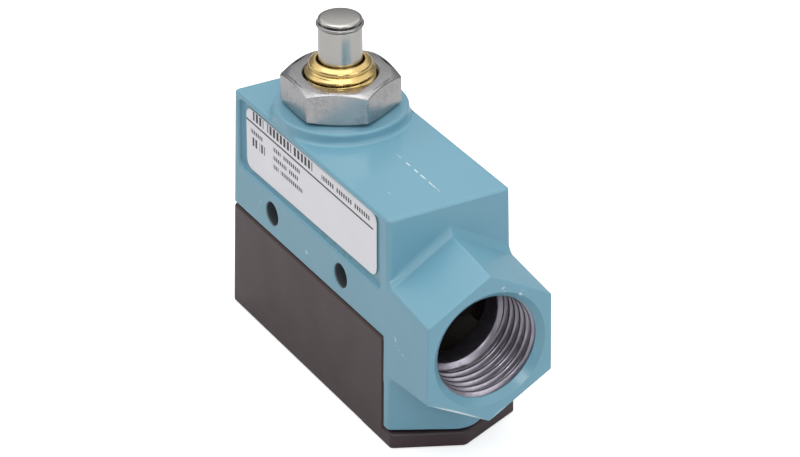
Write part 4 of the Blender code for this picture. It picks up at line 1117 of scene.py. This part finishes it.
PRINT_TILT = radians(0.3)
RULE = (-23.3, 23.3, 39.5, 39.85)
PRINT_WORDS = ((-20.6, -16.6, 40.5, 42.2, 1.3), (-15.2, -6.2, 40.5, 42.2, 1.3),
               (-5.2, 1.6, 40.5, 42.2, 1.3), (5.0, 9.4, 40.6, 41.5, 0.8),
               (10.4, 15.8, 40.6, 41.5, 0.8), (16.8, 22.0, 40.6, 41.5, 0.8),
               (-21.5, -17.0, 37.7, 38.5, 0.7), (-21.0, -18.9, 35.3, 37.0, 1.1),
               (-18.2, -16.2, 35.3, 37.0, 1.1),
               (-13.0, -10.2, 37.8, 38.6, 0.7), (-9.4, -3.0, 37.8, 38.6, 0.7),
               (-13.0, -8.0, 36.1, 36.9, 0.7), (-7.2, -3.6, 36.1, 36.9, 0.7),
               (-13.0, -11.0, 34.4, 35.2, 0.7), (-10.2, -2.0, 34.4, 35.2, 0.7))


def block(tree, where, x0, x1, z0, z1):
    """1 inside a tilted rectangle of the label's plane: the greater of the two distances from
    its middle, each as a share of the half size, is below 1."""
    middle, half = ((x0 + x1) / 2, 0, (z0 + z1) / 2), ((x1 - x0) / 2, 1, (z1 - z0) / 2)
    local = node(tree, "Mapping", {"Vector": where, "Location": middle, "Rotation": (0, PRINT_TILT, 0),
                                   "Scale": half}, vector_type="TEXTURE")
    apart = node(tree, "SeparateXYZ", {0: node(tree, "VectorMath", {0: local}, operation="ABSOLUTE")})
    worst = node(tree, "Math", {0: apart.outputs["X"], 1: apart.outputs["Z"]}, operation="MAXIMUM")
    return node(tree, "Math", {0: worst, 1: 1.0}, operation="LESS_THAN")


vinyl, tree, shader, mm = finish("white_vinyl_label", Roughness=0.42, Specular_IOR_Level=0.4)
cloud = node(tree, "TexNoise", {"Vector": mm, "Scale": 1 / 9})
tone = node(tree, "Mix", {0: cloud, 6: linear("#e9e7ec"), 7: linear("#f1eff3")}, data_type="RGBA")
along_label = node(tree, "SeparateXYZ", {0: mm}).outputs["X"]
ink = block(tree, mm, *RULE)
for x0, x1, z0, z1, stroke_pitch in PRINT_WORDS:
    count = node(tree, "Math", {0: along_label, 1: 1 / stroke_pitch}, operation="MULTIPLY")
    strokes = node(tree, "Math", {0: node(tree, "Math", {0: count}, operation="FRACT"), 1: 0.6},
                   operation="LESS_THAN")
    word = node(tree, "Math", {0: block(tree, mm, x0, x1, z0, z1), 1: strokes}, operation="MULTIPLY")
    ink = node(tree, "Math", {0: ink, 1: word}, operation="MAXIMUM")
tone = node(tree, "Mix", {0: ink, 6: tone, 7: linear("#2a2a2e")}, data_type="RGBA")
ripple = node(tree, "TexNoise", {"Vector": mm, "Scale": 1 / 4})
feed(tree, shader, {"Base Color": tone,
                    "Normal": node(tree, "Bump", {"Height": ripple, "Distance": 0.01 * MM})})
hand_over(build_label(), "root", vinyl, ["label_plate"])

# %% [markdown]
# ## Finishes of the inner parts
# Inside are eight more materials on small parts. Each is clouded in its own way, and what
# differs is the two tones, the size of the cloud, the shine and how far a grain is drawn
# out. One image per part would weigh far more and would blur in a close look.
# %% Inner finishes
# rubber: soft black with the dust-grey bloom that nitrile gets
nitrile = clouded("nitrile_rubber", "#1b1b1c", "#29292a", 0.9, (0.65, 0.85), Specular_IOR_Level=0.35)
# moulding resin: blacker than the cover, with the mould's polish on it
black_phenolic = clouded("black_moulded_phenolic", "#1d1a1a", "#2a2625", 3.0, (0.32, 0.45))
# stamped brass: duller than turned brass, with the strip's rolling lines along X
stamped_brass = clouded("rolled_brass_strip", "#c39a55", "#dab876", 0.5, (0.28, 0.4), 0.003,
                        (0.08, 1.0, 1.0), Metallic=1.0)
# blade: the coppery pink of beryllium copper, rolled the same way
blade_copper = clouded("beryllium_copper_strip", "#b87f58", "#cf9a73", 0.5, (0.2, 0.32), 0.003,
                       (0.08, 1.0, 1.0), Metallic=1.0)
# contacts: white silver, faintly frosted where it was coined
silver = clouded("coined_fine_silver", "#cfcecb", "#e6e5e2", 0.4, (0.2, 0.36), 0.004, Metallic=1.0)
# pin: red-dyed nylon, a little waxy
red_nylon = clouded("red_dyed_nylon", "#7a1f17", "#8f2d22", 2.0, (0.38, 0.5), Subsurface_Weight=0.1,
                    Subsurface_Scale=0.001)
# liner: grey vulcanised fibre, matt, with paper fibres lying along X
fibre = clouded("vulcanised_fibre", "#5f5b55", "#7a756d", 0.7, (0.75, 0.92), 0.012, (0.2, 1.0, 1.0))
# ground screw: green dye over zinc, thin enough that the metal shows through
green_steel = clouded("green_dyed_steel", "#1c5c2c", "#2f7c45", 0.8, (0.3, 0.45), 0.004, Metallic=0.7)
print("materials so far:", len(bpy.data.materials))

# %% [markdown]
# ## Small turned parts
# Pins, seal, seat, contacts, rivets and cup washers are all turned or headed, so a table of
# profiles is enough, and each is remade finer than its packed stand-in, with the corner
# broken as a tool or a tumbling barrel would. Ring-shaped profiles start in the middle of
# a side, so that all of their corners are softened.
# %% Turned small parts
def ring_profile(corners, reach=0.08):
    """A closed profile, from the middle of its last side round to the same point."""
    corners = np.asarray(corners, float)
    middle = (corners[:1] + corners[-1:]) / 2
    return soften(np.concatenate([middle, corners, middle]), reach)


round_turn = np.linspace(0, 2 * pi, 25)
seal_profile = np.column_stack([4.65 + 0.42 * np.cos(round_turn), 51.9 + 0.42 * np.sin(round_turn)])
seat_profile = ring_profile([(4.95, 38.6), (4.95, 39.2), (4.2, 39.2), (4.2, 38.6)])
driver_profile = soften([(0, 49.7), (2.6, 49.7), (2.6, 48.6), (1.8, 48.6), (1.8, 41.6), (0, 41.6)], 0.2)
pin_profile = soften([(0, 41.3), (1.6, 41.3), (1.6, 34.4), (2.6, 34.4), (2.6, 33.4), (1.2, 33.4),
                      (1.2, 32.2), (0, 32.2)], 0.3)
moving_profile = soften([(0, 32.4), (1.6, 32.3), (1.6, 32.0), (0.9, 32.0), (0.9, 31.3), (1.6, 31.3),
                         (1.6, 31.0), (0, 30.9)], 0.14)
rivet_profile = soften([(0, 37.73), (1.35, 37.7), (1.4, 37.23), (0.8, 37.23), (0.8, 17.97), (1.4, 17.97),
                        (1.35, 17.5), (0, 17.47)], 0.2)
washer_profile = ring_profile([(3.2, 16.6), (3.2, 15.9), (2.4, 15.5), (1.8, 15.5), (1.8, 15.9),
                               (2.7, 16.6)])
TERMINAL_X = {"com": -17.5, "no": 3.0, "nc": 18.0}
CONTACT_X = 16.0
SMALL_TURNED = [("plunger_seal", "root", nitrile, "rubber", (plunger_x, 0, 0), seal_profile),
                ("spring_seat", "root", zinc, "zinc_steel", (plunger_x, 0, 0), seat_profile),
                ("driver_pin", "driver", stainless, "stainless", (plunger_x, 0, 0), driver_profile),
                ("switch_pin", "pin", red_nylon, "pin_nylon", (plunger_x, 0, 0), pin_profile),
                ("moving_contact", "blade", silver, "contact_silver", (CONTACT_X, 0, 0), moving_profile),
                ("case_rivet_left", "root", stamped_brass, "brass", (-23.0, 7.1, 0), rivet_profile),
                ("case_rivet_right", "root", stamped_brass, "brass", (23.0, -7.1, 0), rivet_profile)]
for contact in ("contact_nc", "contact_no"):
    low, high = span_mm(contact)
    profile = soften([(0, high[2]), (1.7, high[2]), (1.7, low[2]), (0, low[2])], 0.14)
    SMALL_TURNED.append((contact, "root", silver, "contact_silver", (CONTACT_X, 0, 0), profile))
for key, x in TERMINAL_X.items():
    SMALL_TURNED.append(("cup_washer_" + key, "root", stamped_brass, "brass", (x, 0, 0), washer_profile))
for stands_for, body, material, slot, centre, profile in SMALL_TURNED:
    piece = turned("fine_" + stands_for, profile, centre, steps=48)
    hand_over(piece, body, material, [stands_for], smooth=50, level=False)

# %% [markdown]
# ## Slotted screws
# Cheese-head screws hold the wires, the cover and the earth wire. Their threads are
# helices like the bushing's, only finer, and a saw has cut the slot across the head. A
# texture of rings would pass from afar, but its ends would not run out into the shank.
# %% Screws
def slotted_screw(name, centre, along, head_r, head_h, shank_r, length, pitch, turn):
    """Head from its outer face to its underside, then the thread, then the rounded tip; then
    the slot: a bar 0.7 mm wide, turned about the axis, and 55 % of the head deep."""
    angle = np.linspace(0, 2 * pi, 49)
    root_r = shank_r - 0.25
    head = soften([(0, -head_h), (head_r, -head_h), (head_r, 0), (root_r, 0), (root_r, 0.3)],
                  (0.3, 0.12, 0.05))
    tip = soften([(root_r, length - 0.2), (root_r - 0.2, length), (0, length)], 0.1)
    grid = thread(angle, 0.35, length - 0.25, pitch, shank_r, root_r, rows=10)
    grid = stacked(plain_rows(head, angle), grid, plain_rows(tip, angle), closed=False)
    screw = skin(name, on_axis(*grid, angle, centre, along))
    u, v = np.array(upright_rectangle((2.4 * head_r, 0.7))).T
    radius, bar_angle = np.hypot(u, v)[None, :], (np.arctan2(v, u) + turn)[None, :]
    depths = np.array([[-head_h - 1.0], [-0.45 * head_h]])
    bar = loft(name + "_slot", list(on_axis(radius * np.ones((2, 1)), depths, bar_angle, centre, along)))
    return carve(screw, [bar], "DIFFERENCE")


# each row: node, place, axis, (head radius, head height, shank radius, length, pitch, slot's turn)
SCREWS = [("cover_screw", (SCREW_X, 0, 1.4), "Z", (2.9, 1.2, 1.75, 10.1, 0.6, radians(40))),
          ("ground_screw", (27.6, *EARTH_AT), "X", (2.8, 1.4, 1.5, 3.4, 0.5, radians(-30)))]
for key, x in TERMINAL_X.items():
    SCREWS.append(("terminal_screw_" + key, (x, 0, 15.2), "Z", (2.6, 1.8, 1.5, 5.8, 0.5, radians(25))))
for stands_for, centre, along, sizes in SCREWS:
    earthed = stands_for == "ground_screw"
    hand_over(slotted_screw("fine_" + stands_for, centre, along, *sizes), "root",
              green_steel if earthed else zinc,
              [stands_for], smooth=40, level=False)

# %% [markdown]
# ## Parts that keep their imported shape
# The switch case, blade, terminals, liner and seal are pressed or moulded boxes whose
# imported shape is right. They keep it, get their finish, and a Bevel modifier breaks their
# edges by up to a fifth of a millimetre, so that each edge takes a line of light.
# %% Carried-over parts
KEPT = {"switch_base": (black_phenolic, 0.2), "switch_lid": (black_phenolic, 0.2),
        "snap_blade": (blade_copper, 0.04), "blade_anchor": (stamped_brass, 0.12),
        "terminal_com": (stamped_brass, 0.08), "terminal_no": (stamped_brass, 0.08),
        "terminal_nc": (stamped_brass, 0.08), "insulating_liner": (fibre, 0.05),
        "cover_gasket": (nitrile, 0.15)}
for name, (material, edge) in KEPT.items():
    part = nodes[name]
    part.material_slots[0].material = material
    joined = part.modifiers.new("join_points", "WELD")
    joined.merge_threshold = 0.001 * MM
    rounding = part.modifiers.new("break_edges", "BEVEL")
    rounding.width = edge * MM
    rounding.segments = 2
    rounding.limit_method = "ANGLE"
    rounding.angle_limit = radians(40)
print("parts kept as packed:", len(KEPT))
